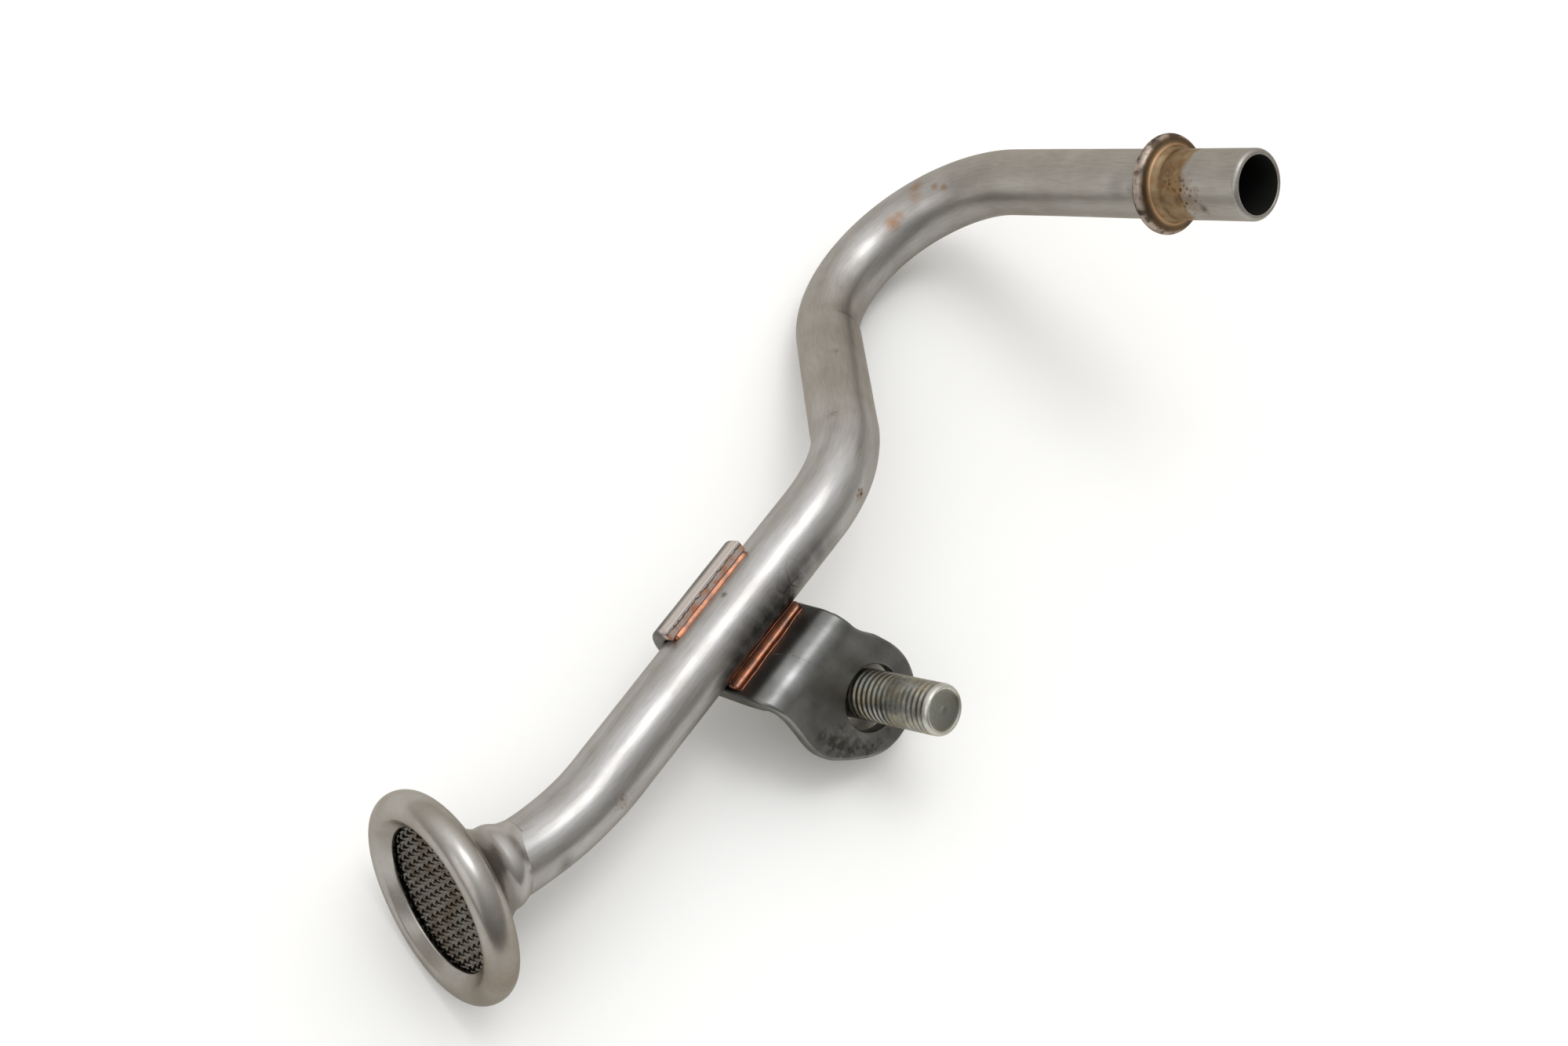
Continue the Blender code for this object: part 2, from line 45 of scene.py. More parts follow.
# How the part lies: its own direction that points up, and its shift on the floor in millimetres
REST_UP = (0.15791, 0.715678, 0.680345)
REST_SHIFT = (9.6887, 1.7946, 17.1004)

# Camera in the part's own axes, in millimetres
EYE = (-91.88, 128.35, 183.31)
EYE_RIGHT = (0.58246, -0.52606, 0.61967)
EYE_DOWN = (-0.73677, -0.66371, 0.12909)

# Tube
TUBE_R = 4.0
TUBE_WALL = 0.7
BELL_BEND_CORNER = (-52.0, 0.0, 0.0)
BELL_BEND_DEG = 27.0
BELL_BEND_R = 33.0
DROP_BEND_DEG = 48.0
DROP_BEND_R = 16.0
SECOND_STRAIGHT = 20.8
HAIRPIN_DEG = 138.0
HAIRPIN_R = 16.0
SPIGOT_LEG = 37.9
FIRST_STRAIGHT = 0.277
REDUCED_START = 6.6
BEND_FLATTENING = 0.045
BEND_WIDENING = 0.4
BEAD_FROM_END = 12.95
LIP_R = 0.55
BEAD_R = 5.74
BEAD_ROUND_R = 0.85
BEAD_HALF_THICKNESS = 0.82
SHOULDER_R = 4.4
SHOULDER_LENGTH = 0.85
HAIRPIN_HOLLOW = 0.13
BROWNER_ALONG = (58.0, 74.0)
TUBE_SIDES = 112
TUBE_STEP, BEAD_STEP, SPIGOT_STEP, BORE_STEP = 0.32, 0.07, 0.3, 1.6
FINE_STEPS_FROM_END = (16.0, 9.0)
# Reduced end: distance behind the rim's ring plane, and radius
REDUCED_END = ((6.6, 3.4), (9.35, 3.4), (9.55, 3.72), (11.2, 3.75), (12.4, 3.86), (14.0, 3.97), (15.0, 4.0))

# Bell mouth, as radius and distance behind the rim's ring plane
BELL_TILT_DEG = -1.0
ROLL_RING_R = 10.15
ROLL_HALF_WIDTH = 1.62
ROLL_HALF_DEPTH = 1.85
SHEET = 0.45
LIP_RING_R = 8.1
BELL_SIDES = 200

# Bracket plate
PLATE = 1.62
SADDLE_INNER_R = 4.08
ARM_LEAN_DEG = 3.0
TAB_FACE_Z = 8.3
BEND_OUTER_R = 3.0
HOLE_CENTRE = (-18.95, -15.62)
HOLE_R = 3.85
SADDLE_X = (-29.25, -16.1)
ARM_X = (-29.0, -15.95)
FRONT_EDGE_R, BACK_EDGE_R, HOLE_EDGE_R = 0.42, 0.16, 0.2
SIDE_POINTS, END_POINTS, FACE_STEPS = 460, 60, 70
TAB_OUTLINE = (
    (-15.6, -5.6), (-15.4, -6.9), (-15.2, -7.95), (-14.85, -8.9), (-14.35, -9.8), (-13.85, -10.7),
    (-13.4, -11.95), (-13.0, -13.15), (-12.72, -14.5), (-12.66, -15.9), (-12.88, -17.3), (-13.45, -18.75),
    (-14.5, -20.15), (-15.95, -21.25), (-17.6, -21.95), (-19.2, -22.17), (-20.84, -21.97), (-22.2, -21.42),
    (-23.36, -20.65), (-24.4, -19.7), (-25.4, -18.6), (-26.4, -17.45), (-27.2, -16.4), (-27.75, -15.3),
    (-28.05, -14.0), (-28.12, -12.4), (-28.05, -10.7), (-28.06, -8.6), (-28.45, -6.4),
)

# Bolt: its heights are counted from the flange's seat
BOLT_R = 2.86
BOLT_LENGTH = 14.0
BOLT_TIP = (-18.08, -15.3, 19.47)
BOLT_DIRECTION = (0.074, -0.029, 0.997)
THREAD_PITCH = 0.75
THREAD_DEPTH = 0.10
WORN_AT, WORN_WIDTH = 9.0, 2.4
CHAMFER_HEIGHT = 0.75
DISH_EDGE = (2.2, 2.38)
BOLT_PIT = (-18.4, -12.55, 12.06, 0.28, 1.0)
HEAD_HEIGHT = 6.2
HEAD_FLAT_R, HEAD_CORNER_R, HEAD_TOP_R = 4.0, 4.52, 4.05
BOLT_SIDES = 144

# Strainer screen
WIRE_PITCH = 0.7
WIRE_R = 0.262
SCREEN_R = 9.0
SCREEN_BEHIND_RING = 0.5
SCREEN_TURN_DEG = -2.5

# Studio: half the floor's side in metres, and the room's height on the dome, brightness and warmth
FLOOR_HALF = 30
ROOM_LIGHT = (
    (0.0, 0.215, 1.1), (0.26, 0.26, 0.8), (0.5, 0.335, 0.4), (0.707, 0.45, 0.0),
    (0.866, 0.585, -0.3), (0.924, 0.67, -0.4), (0.966, 0.74, -0.5), (1.0, 0.86, -0.5),
)

# Stains and marks: place in the part's own axes, radius and strength
COPPER_SPOTS = (
    (36.2, 2.6, -21.9, 1.0, 1.0), (37.2, 2.9, -21.5, 0.8, 0.8), (40.2, 3.3, -20.5, 1.1, 0.6),
    (41.2, 4.0, -20.9, 0.9, 0.75), (41.9, 3.5, -18.3, 0.45, 0.9), (42.2, 3.2, -17.1, 0.42, 0.9),
)
# Dark band along the long straight beside the bracket: partly a smudge, partly a painted dark reflection under the
# highlight streak, and painted shade on the tube beside the valley braze. The rest are smears on the spigot leg and
# by the bell bend.
DARK_MARKS = (
    (-9.5, -1.3, 3.7, 1.6, 0.45), (-11.3, -1.0, 3.8, 1.8, 0.65), (-13.3, -0.8, 3.9, 1.8, 0.65),
    (-15.2, -0.8, 3.9, 1.8, 0.8), (-17.0, -0.9, 3.9, 2.0, 0.95), (-18.8, -0.9, 3.9, 2.1, 0.9),
    (-20.7, -0.9, 3.9, 2.1, 0.95), (-22.6, -0.9, 3.9, 2.1, 0.95), (-24.4, -0.8, 3.9, 2.0, 0.85),
    (-26.2, -1.2, 3.8, 1.9, 0.9), (-27.8, -1.6, 3.7, 1.6, 0.75), (-21.0, -2.8, 2.9, 2.0, 0.95),
    (-24.5, -2.8, 2.9, 2.0, 0.95), (-18.0, -2.8, 2.9, 1.8, 0.9), (-13.72, -1.22, 3.76, 0.35, 0.9),
    (-21.9, 3.73, 1.39, 0.3, 0.9), (43.4, 2.3, 10.6, 1.6, 0.3), (43.4, 2.2, 12.6, 0.9, 0.35),
    (42.66, 0.13, 22.78, 0.5, 0.7), (-54.76, -0.02, 3.41, 1.0, 0.5), (-17.0, -2.1, 3.4, 1.0, 1.15),
    (-18.5, -2.1, 3.4, 0.9, 1.15), (-20.0, -2.3, 3.3, 0.8, 1.15), (-21.5, -2.6, 3.1, 0.8, 1.1),
    (-23.0, -2.9, 2.8, 0.8, 1.1), (-24.5, -2.9, 2.8, 0.8, 1.05), (-26.0, -2.7, 3.0, 0.8, 1.05),
)
HAIRLINES = (
    (-16.6, -0.7, 3.9, 1.4, 0.9), (-17.4, -1.6, 3.6, 1.4, 0.9), (-15.0, 0.3, 4.0, 1.0, 0.6),
)
BROWN_MARKS = (
    (-46.07, -0.75, 3.94, 0.9, 0.55), (-2.6, -1.05, 3.16, 0.7, 1.0), (4.1, 4.0, -3.7, 0.5, 0.7),
    (13.8, 3.5, -12.4, 0.4, 0.6), (43.39, 2.33, 20.2, 1.4, 0.9), (43.0, 1.0, 20.9, 1.4, 0.9),
    (43.9, 2.9, 18.9, 1.2, 0.8), (42.7, 0.1, 21.4, 0.9, 0.8), (43.3, 2.2, 22.2, 0.5, 0.8),
    (42.5, -0.4, 22.6, 0.5, 0.8),
)
NECK_BRAZE = (
    (-57.79, 3.01, 4.31, 0.6, 0.9), (-57.6, 2.2, 4.1, 0.4, 0.8),
)
# Painted shade: darker patches over the lower side of the bell's roll
BELL_HANDLED = (
    (-66.0, 3.8, 11.2, 4.0, 0.7), (-68.5, 2.0, 10.0, 4.5, 0.85), (-70.5, -0.5, 6.5, 4.0, 0.7),
    (-71.2, -1.3, 1.9, 3.5, 0.45),
)
BELL_DARK = (
    (-56.9, 4.9, 3.9, 0.7, 0.7), (-57.0, 4.1, 4.1, 0.7, 0.7), (-57.4, 1.2, 3.6, 0.8, 0.6),
)
BRACKET_DARK = (
    (-24.4, -17.87, 8.28, 1.5, 0.9), (-22.11, -19.6, 8.3, 1.2, 0.8), (-20.08, -19.79, 8.31, 0.5, 1.0),
    (-18.0, -20.6, 8.3, 0.8, 0.7),
)
BRACKET_GRIME = (
    (-26.4, -13.2, 8.3, 1.3, 0.7), (-25.9, -14.8, 8.3, 1.4, 0.95), (-25.3, -16.3, 8.3, 1.5, 1.0),
    (-24.4, -17.7, 8.3, 1.5, 0.9), (-23.3, -19.2, 8.3, 1.3, 0.8), (-21.9, -19.9, 8.3, 1.1, 0.6),
    (-24.2, -14.6, 8.3, 1.2, 0.6), (-23.4, -16.6, 8.3, 1.2, 0.55), (-20.1, -20.3, 8.3, 0.9, 0.6),
)


# Numbers and curves


def unit(v):
    """The same direction at length one."""
    v = np.asarray(v, float)
    return v / np.linalg.norm(v, axis=-1, keepdims=True)


def smooth(x, low, high):
    """0 below low, 1 above high, and between them t squared times three less two t."""
    t = np.clip((x - low) / (high - low), 0.0, 1.0)
    return t * t * (3.0 - 2.0 * t)


def bump(x, centre, width):
    """Bell-shaped rise: e to minus the square of the distance from the centre over the width."""
    return np.exp(-((x - centre) / width) ** 2)


def turned(v, axis, angle):
    """Each vector turned about an axis: its part along the axis stays, the rest is multiplied by the
    angle's cosine, and the axis crossed with it by the sine is added."""
    v = np.broadcast_to(v, (len(angle), 3))
    a = np.asarray(angle)[:, None]
    along = (v @ axis)[:, None] * axis
    return along + (v - along) * np.cos(a) + np.cross(axis, v) * np.sin(a)


def through(points, count, closed=False):
    """Smooth curve through every point, at even steps along its length: between each two points a cubic,
    whose slope at a point is half the step from its one neighbour to the other."""
    p = np.asarray(points, float)
    if closed:
        p = np.vstack([p[-2:], p, p[:3]])
    else:
        p = np.vstack([2 * p[0] - p[1], p, 2 * p[-1] - p[-2]])
    a, b, c, d = (p[i:len(p) - 3 + i, None] for i in range(4))
    steps = 16
    t = np.linspace(0, 1, steps, endpoint=False)[None, :, None]
    curve = 0.5 * (
        2 * b + (c - a) * t + (2 * a - 5 * b + 4 * c - d) * t ** 2 + (3 * b - a - 3 * c + d) * t ** 3
    )
    curve = curve.reshape(-1, p.shape[1])
    if closed:
        curve = curve[steps:-steps]
        curve = np.vstack([curve, curve[:1]])
    else:
        curve = np.vstack([curve, p[-2]])
    return even(curve, count)


def even(curve, count):
    """The same curve with points at even steps along its length."""
    step = np.linalg.norm(np.diff(curve, axis=0), axis=1)
    gone = np.concatenate([[0.0], np.cumsum(step)])
    at = np.linspace(0.0, gone[-1], count)
    return np.stack([np.interp(at, gone, curve[:, i]) for i in range(curve.shape[1])], 1)


def ripple(x, y, seed, waves=14, low=0.5, high=3.0):
    """Soft unevenness between about -1 and 1: a sum of sine waves of seeded directions and lengths."""
    rng = np.random.default_rng(seed)
    total = np.zeros(np.broadcast(x, y).shape)
    for _ in range(waves):
        angle, phase = rng.uniform(0, 2 * np.pi, 2)
        rate = np.exp(rng.uniform(np.log(low), np.log(high)))
        total += np.sin(rate * (x * np.cos(angle) + y * np.sin(angle)) + phase)
    return total / math.sqrt(waves)


# Where things are


def rest_axes():
    """Rows are the world's X, Y and Z in the part's own axes."""
    up = unit(REST_UP)
    ahead = np.array([1.0, 0.0, 0.0])
    ahead = unit(ahead - up * (ahead @ up))
    return np.array([ahead, np.cross(up, ahead), up])


REST = rest_axes()


def to_world(points):
    """Part's own millimetres to world metres."""
    return (np.asarray(points, float) @ REST.T + np.array(REST_SHIFT)) * MM


def make_piece(name, points, faces, marks=None):
    """Mesh piece from an array of points in the part's own millimetres, with named numbers at its points."""
    flat = np.asarray(points, float).reshape(-1, 3)
    mesh = bpy.data.meshes.new(name)
    mesh.from_pydata(to_world(flat).tolist(), [], faces)
    for key, value in (marks or {}).items():
        value = np.asarray(value, np.float32)
        kind = "FLOAT" if value.size == len(flat) else "FLOAT_VECTOR"
        made = mesh.attributes.new(key, kind, "POINT")
        made.data.foreach_set("value" if kind == "FLOAT" else "vector", value.ravel())
    mesh.polygons.foreach_set("use_smooth", np.ones(len(mesh.polygons), bool))
    mesh.update()
    piece = bpy.data.objects.new(name, mesh)
    bpy.context.scene.collection.objects.link(piece)
    return piece


def grid_quads(rows, columns, close_rows=False):
    """Quads of a grid of points: each row is joined round, and the last row to the first where asked."""
    i = np.arange(rows if close_rows else rows - 1)[:, None]
    j = np.arange(columns)[None, :]
    up, right = (i + 1) % rows, (j + 1) % columns
    corners = (i * columns + j, i * columns + right, up * columns + right, up * columns + j)
    return np.stack([np.broadcast_to(c, (i.size, j.size)) for c in corners], -1).reshape(-1, 4)


def closed_skin(rings):
    """Points and faces of rings joined by quads, with a fan round a centre at either end."""
    rows, sides = rings.shape[:2]
    flat = np.vstack([rings.reshape(-1, 3), rings[0].mean(0), rings[-1].mean(0)])
    j = np.arange(sides)
    beside = (j + 1) % sides
    last = (rows - 1) * sides
    first_fan = np.stack([beside, j, np.full(sides, rows * sides)], 1)
    last_fan = np.stack([last + j, last + beside, np.full(sides, rows * sides + 1)], 1)
    return flat, grid_quads(rows, sides).tolist() + first_fan.tolist() + last_fan.tolist()


def face_out(piece):
    """Turns a closed piece's faces outwards."""
    bm = bmesh.new()
    bm.from_mesh(piece.data)
    bmesh.ops.recalc_face_normals(bm, faces=bm.faces)
    bm.to_mesh(piece.data)
    bm.free()


def fit_out(piece, material, node):
    """Gives a piece its material, body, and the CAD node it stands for."""
    piece.data.materials.append(material)
    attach(piece, "root")
    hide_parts(node)


# Tube surface


def pipe_pieces():
    """Start point and direction of the centre line, and its straights and bends in turn.

    Each is a length with no angle, or an angle with a radius and an axis."""
    bell_tangent = BELL_BEND_R * math.tan(math.radians(BELL_BEND_DEG) / 2)
    drop_tangent = DROP_BEND_R * math.tan(math.radians(DROP_BEND_DEG) / 2)
    corner = np.array(BELL_BEND_CORNER)
    tilt = math.radians(BELL_BEND_DEG)
    into_tube = np.array([math.cos(tilt), -math.sin(tilt), 0.0])
    start = corner - (FIRST_STRAIGHT + bell_tangent) * into_tube
    drop = math.radians(DROP_BEND_DEG)
    down = np.array([math.cos(drop), 0.0, -math.sin(drop)])
    along = np.array([1.0, 0.0, 0.0])
    bends = (
        (FIRST_STRAIGHT, 0.0, None, None),
        (0.0, tilt, BELL_BEND_R, np.array([0.0, 0.0, 1.0])),
        (-corner[0] - bell_tangent - drop_tangent, 0.0, None, None),
        (0.0, drop, DROP_BEND_R, unit(np.cross(along, down))),
        (SECOND_STRAIGHT, 0.0, None, None),
        (0.0, math.radians(HAIRPIN_DEG), HAIRPIN_R, unit(np.cross(down, along))),
        (SPIGOT_LEG, 0.0, None, None),
    )
    return start, into_tube, bends


def pipe_path(distances):
    """Centre line at each distance: straights, and circles about a bend's own axis by length over radius.

    Gives the centre, direction, two cross directions, the bend's inward side and its flattening."""
    start, direction, bends = pipe_pieces()
    first = np.array([0.0, 0.0, 1.0])
    n = len(distances)
    out = {k: np.zeros((n, 3)) for k in ("centre", "direction", "first", "inward")}
    out["flat"] = np.zeros(n)
    gone = 0.0
    for straight, angle, radius, axis in bends:
        length = straight if radius is None else radius * angle
        here = (distances >= gone - 1e-9) & (distances <= gone + length + 1e-9)
        d = distances[here] - gone
        if radius is None:
            out["centre"][here] = start + d[:, None] * direction
            out["direction"][here] = direction
            out["first"][here] = first
            start = start + direction * length
        else:
            inward = np.cross(axis, direction)
            middle = start + radius * inward
            turn = d / radius
            out["centre"][here] = middle - radius * turned(inward, axis, turn)
            out["direction"][here] = turned(direction, axis, turn)
            out["first"][here] = turned(first, axis, turn)
            out["inward"][here] = turned(inward, axis, turn)
            share = d / length
            out["flat"][here] = BEND_FLATTENING * np.clip(np.minimum(share, 1 - share) / 0.25, 0, 1)
            start = middle - radius * turned(inward, axis, np.array([angle]))[0]
            direction, first = (turned(v, axis, np.array([angle]))[0] for v in (direction, first))
        gone += length
    out["second"] = np.cross(out["direction"], out["first"])
    out["length"] = gone
    return out


# Distances along the tube: its whole length, the bead, and the hairpin's start
PIPE_LENGTH = pipe_path(np.array([0.0]))["length"]
BEAD_AT = PIPE_LENGTH - BEAD_FROM_END
HAIRPIN_AT = sum(radius * angle if radius else straight for straight, angle, radius, _ in pipe_pieces()[2][:5])


def outer_radius(s):
    """Radius along the tube: reduced end, plain tube, upset bead with a round crest, shoulder and end."""
    r = np.interp(s + REDUCED_START, *zip(*REDUCED_END))
    x = s - BEAD_AT
    half = BEAD_HALF_THICKNESS
    crest = BEAD_R - BEAD_ROUND_R
    across = np.sqrt(np.clip(1 - (x / half) ** 2, 0.0, 1.0))
    inside = np.abs(x) <= half
    r = np.where(inside, crest + BEAD_ROUND_R * across, r)
    root = TUBE_R + 0.35 * np.exp(-np.clip(-x - half, 0, None) / 0.16)
    r = np.where(x < -half, np.maximum(r, root), r)
    shoulder = SHOULDER_R - (SHOULDER_R - TUBE_R) * smooth(x, half + 0.1, half + 1.4 * SHOULDER_LENGTH)
    shoulder += 0.25 * np.exp(-np.clip(x - half, 0, None) / 0.08)
    r = np.where(x > half, shoulder, r)
    from_lip = np.clip(1 - (PIPE_LENGTH - s) / LIP_R, 0, 1)
    return r - 0.5 * (1 - np.sqrt(np.clip(1 - from_lip ** 2, 0, 1)))


def marked_by(points, marks):
    """Strength of stains at each point: the largest of soft round patches at given places and radii."""
    total = np.zeros(len(points))
    for x, y, z, radius, strength in marks:
        d = np.linalg.norm(points - np.array((x, y, z)), axis=1)
        total = np.maximum(total, strength * np.exp(-(d / radius) ** 2))
    return total


def make_pipe(material):
    """Tube surface: circles of the outer radius carried along the path, then back along the bore.

    Each circle is a little flat towards the bend's inside and wide across it; a lens-shaped hollow
    follows the inside of the hairpin, and slow ripples a few hundredths of a millimetre deep cover the rest."""
    fine_from, fine_to = (PIPE_LENGTH - d for d in FINE_STEPS_FROM_END)
    plain = np.arange(0.0, fine_from, TUBE_STEP)
    crest = np.arange(fine_from, fine_to, BEAD_STEP)
    spigot = np.arange(fine_to, PIPE_LENGTH - 0.6, SPIGOT_STEP)
    lip = PIPE_LENGTH - LIP_R * (1 - np.sin(np.linspace(0, np.pi / 2, 12)))
    inner_lip = PIPE_LENGTH - np.array([0.0, 0.03, 0.08, 0.14])
    outer_s = np.concatenate([plain, crest, spigot, lip])
    inner_s = np.concatenate([inner_lip, np.arange(PIPE_LENGTH - 0.5, 0.4, -BORE_STEP), [0.0]])
    bore_r = np.full(len(inner_s), TUBE_R - TUBE_WALL)
    bore_r[:4] += np.array([0.08, 0.04, 0.01, 0.0])
    bore_r[-6:] = np.minimum(bore_r[-6:], np.interp(inner_s[-6:], (0, 8), (2.75, 3.3)))
    s = np.concatenate([outer_s, inner_s])
    r = np.concatenate([outer_radius(outer_s), bore_r])
    outside = np.concatenate([np.ones(len(outer_s) + 3), np.zeros(len(inner_s) - 3)])[:, None]
    angle = np.linspace(0, 2 * np.pi, TUBE_SIDES, endpoint=False)[None, :]
    cos, sin = np.cos(angle), np.sin(angle)
    path = pipe_path(s)
    spoke = cos[..., None] * path["first"][:, None] + sin[..., None] * path["second"][:, None]
    inward = path["inward"][:, None]
    width = np.cross(path["direction"], path["inward"])[:, None]
    to_inside = (spoke * inward).sum(-1)
    to_side = (spoke * width).sum(-1)
    uneven = 0.018 * ripple(s[:, None] / 9.0, cos * 1.2, seed=3)
    uneven += 0.012 * ripple(s[:, None] * 0.25, sin * 2.0 + cos, seed=5, low=0.6, high=2.5)
    crest_zone = bump(s, BEAD_AT, 1.2)[:, None]
    uneven += crest_zone * 0.04 * ripple(cos * 3.0 + 0 * s[:, None], sin * 3.0, seed=8, high=1.5)
    hollow = HAIRPIN_HOLLOW * bump(s[:, None], HAIRPIN_AT + 4.0, 7.0) * smooth(to_inside, 0.45, 1.0)
    radius = (r[:, None] + (uneven - hollow) * outside)[..., None]
    squeeze = path["flat"][:, None, None]
    offset = radius * spoke
    offset -= squeeze * (radius * to_inside[..., None]) * inward
    offset += squeeze * BEND_WIDENING * (radius * to_side[..., None]) * width
    points = path["centre"][:, None] + offset
    flat = points.reshape(-1, 3)
    along = np.broadcast_to(s[:, None], (len(s), TUBE_SIDES))
    on_skin = np.broadcast_to(outside, along.shape)
    from_bead = along - BEAD_AT
    # The browner tone is weaker round the hairpin's middle
    marks = {
        "along_mm": along,
        "inside": 1 - on_skin,
        "browner": smooth(along, *BROWNER_ALONG) * (1 - 0.8 * bump(along, HAIRPIN_AT + 19.0, 13.0)),
        "copper_spots": marked_by(flat, COPPER_SPOTS),
        "dark_marks": marked_by(flat, DARK_MARKS) * on_skin.ravel(),
        "brown_marks": marked_by(flat, BROWN_MARKS) * on_skin.ravel(),
        "hairlines": marked_by(flat, HAIRLINES),
        "bead": bump(from_bead, 0.0, 1.1) ** 0.5 * smooth(radius[..., 0], 4.3, 4.8),
        "crest": smooth(radius[..., 0] - 0.25 * from_bead, 5.0, 5.45),
        "round_tube": np.stack([along, TUBE_R * cos + 0 * along, TUBE_R * sin + 0 * along], -1),
    }
    faces = grid_quads(len(s), TUBE_SIDES, close_rows=True).tolist()
    fit_out(make_piece("bent_tube", points, faces, marks), material, "pipe")


# Bell mouth and screen


def bell_place():
    """Centre of the rim's ring plane, the axis into the tube, and two directions across it."""
    start, first_leg, _ = pipe_pieces()
    centre = start - REDUCED_START * first_leg
    tilt = math.radians(BELL_BEND_DEG + BELL_TILT_DEG)
    axis = np.array([math.cos(tilt), -math.sin(tilt), 0.0])
    side = np.array([0.0, 0.0, 1.0])
    return centre, axis, side, np.cross(axis, side)


def bell_outline():
    """Section of the sheet: oval roll, hollow flare, swelling at the neck and the collar's lip, then back inside."""
    def roll(inset, start, end, count):
        a = np.radians(np.linspace(start, end, count))
        return np.stack([
            ROLL_RING_R + (ROLL_HALF_WIDTH - inset) * np.cos(a), (ROLL_HALF_DEPTH - inset) * np.sin(a)
        ], 1)
    outer = np.vstack([
        [(LIP_RING_R, -0.65)],
        roll(0.0, -128, 100, 40),
        [(9.2, 2.08), (8.1, 2.62), (7.0, 3.28), (6.0, 4.08), (5.3, 4.9), (4.85, 5.6)],
        [(4.66, 6.15), (4.64, 6.6), (4.58, 7.05), (4.43, 7.5), (4.2, 7.95), (4.0, 8.35), (3.88, 8.75), (3.8, 9.2)],
        [(3.76, 9.55)],
    ])
    inner = np.vstack([
        [(3.68, 9.5), (3.64, 8.0), (3.62, 6.2), (4.3, 5.3), (5.0, 4.4), (5.8, 3.55), (6.9, 2.8), (8.0, 2.15)],
        [(9.1, 1.62)],
        roll(SHEET, 100, -128, 30),
        [(8.14, -0.25)],
    ])
    return through(outer, 150), through(inner, 90)


def make_bell(material):
    """Bell: the section turned round its axis.

    The opening's edge wanders a little, as a crimped rim does, and the neck leans with the tube's bend."""
    centre, axis, side, across = bell_place()
    outer, inner = bell_outline()
    section = np.vstack([outer, inner])
    angle = np.linspace(0, 2 * np.pi, BELL_SIDES, endpoint=False)[None, :]
    cos, sin = np.cos(angle), np.sin(angle)
    r = section[:, 0][:, None] + 0 * angle
    z = section[:, 1][:, None] + 0 * angle
    facing = bump(r, LIP_RING_R, 0.75) * smooth(-z, -0.4, 0.6)
    wander = 0.10 * np.abs(np.cos(2.5 * angle + 0.7)) + 0.05 * np.sin(3 * angle + 1.0)
    r = r + facing * (wander - 0.06)
    r = r + 0.03 * ripple(cos * 2, sin * 2 + z * 0.2, seed=11) * smooth(z, -1.8, -0.8)
    z = z + 0.035 * ripple(cos * 1.6, sin * 1.6, seed=12)
    lean = 0.17 * smooth(z, 6.0, 9.0)
    points = centre + z[..., None] * axis + r[..., None] * (cos[..., None] * side + sin[..., None] * across)
    points = points + lean[..., None] * np.array([0.0, 1.0, 0.0])
    faces = grid_quads(len(section), BELL_SIDES, close_rows=True)[:, ::-1].tolist()
    flat = points.reshape(-1, 3)
    marks = {
        "behind_mm": z,
        "rust_marks": marked_by(flat, NECK_BRAZE),
        "handled_marks": marked_by(flat, BELL_HANDLED),
        "dark_marks": marked_by(flat, BELL_DARK),
        "round_bell": np.stack([z, r * cos, r * sin], -1),
    }
    fit_out(make_piece("rolled_bell", points, faces, marks), material, "bell_mouth")


def make_screen(material):
    """Twilled wire cloth: each wire is a tube on a wave that goes over two wires and under one.

    The wave is a third less four thirds of a cosine three wires long, with its tops cut flat."""
    centre, axis, side, across = bell_place()
    centre = centre + SCREEN_BEHIND_RING * axis
    turn = math.radians(SCREEN_TURN_DEG)
    warp = math.cos(turn) * side + math.sin(turn) * across
    weft = -math.sin(turn) * side + math.cos(turn) * across
    count = int(SCREEN_R / WIRE_PITCH)
    ring = np.linspace(0, 2 * np.pi, 7, endpoint=False)
    points, quads, base = [], [], 0
    for run, over, lift in ((warp, weft, 1.0), (weft, warp, -1.0)):
        for k in range(-count, count + 1):
            reach = math.sqrt(max(SCREEN_R ** 2 - (k * WIRE_PITCH) ** 2, 0.3))
            t = np.linspace(-reach, reach, max(6, int(2 * reach / (WIRE_PITCH / 5))))
            phase = lift * (t / WIRE_PITCH - k) * 2 * np.pi / 3
            wave = lift * WIRE_R * 0.97 * np.clip(1 / 3 - 4 / 3 * np.cos(phase), -1.0, 1.15)
            middle = centre + t[:, None] * run + (k * WIRE_PITCH) * over - wave[:, None] * axis
            circle = np.cos(ring)[:, None] * over - np.sin(ring)[:, None] * axis
            tube = middle[:, None] + WIRE_R * circle[None]
            points.append(tube.reshape(-1, 3))
            quads.append(grid_quads(len(t), len(ring)) + base)
            cap = np.array([(0, i, i + 1, i + 2) for i in (1, 3)])
            quads.append(base + cap)
            quads.append(base + (len(t) - 1) * len(ring) + cap[:, [0, 3, 2, 1]])
            base += len(t) * len(ring)
    piece = make_piece("woven_screen", np.vstack(points), np.vstack(quads).tolist())
    fit_out(piece, material, "strainer_screen")


# Bracket and braze


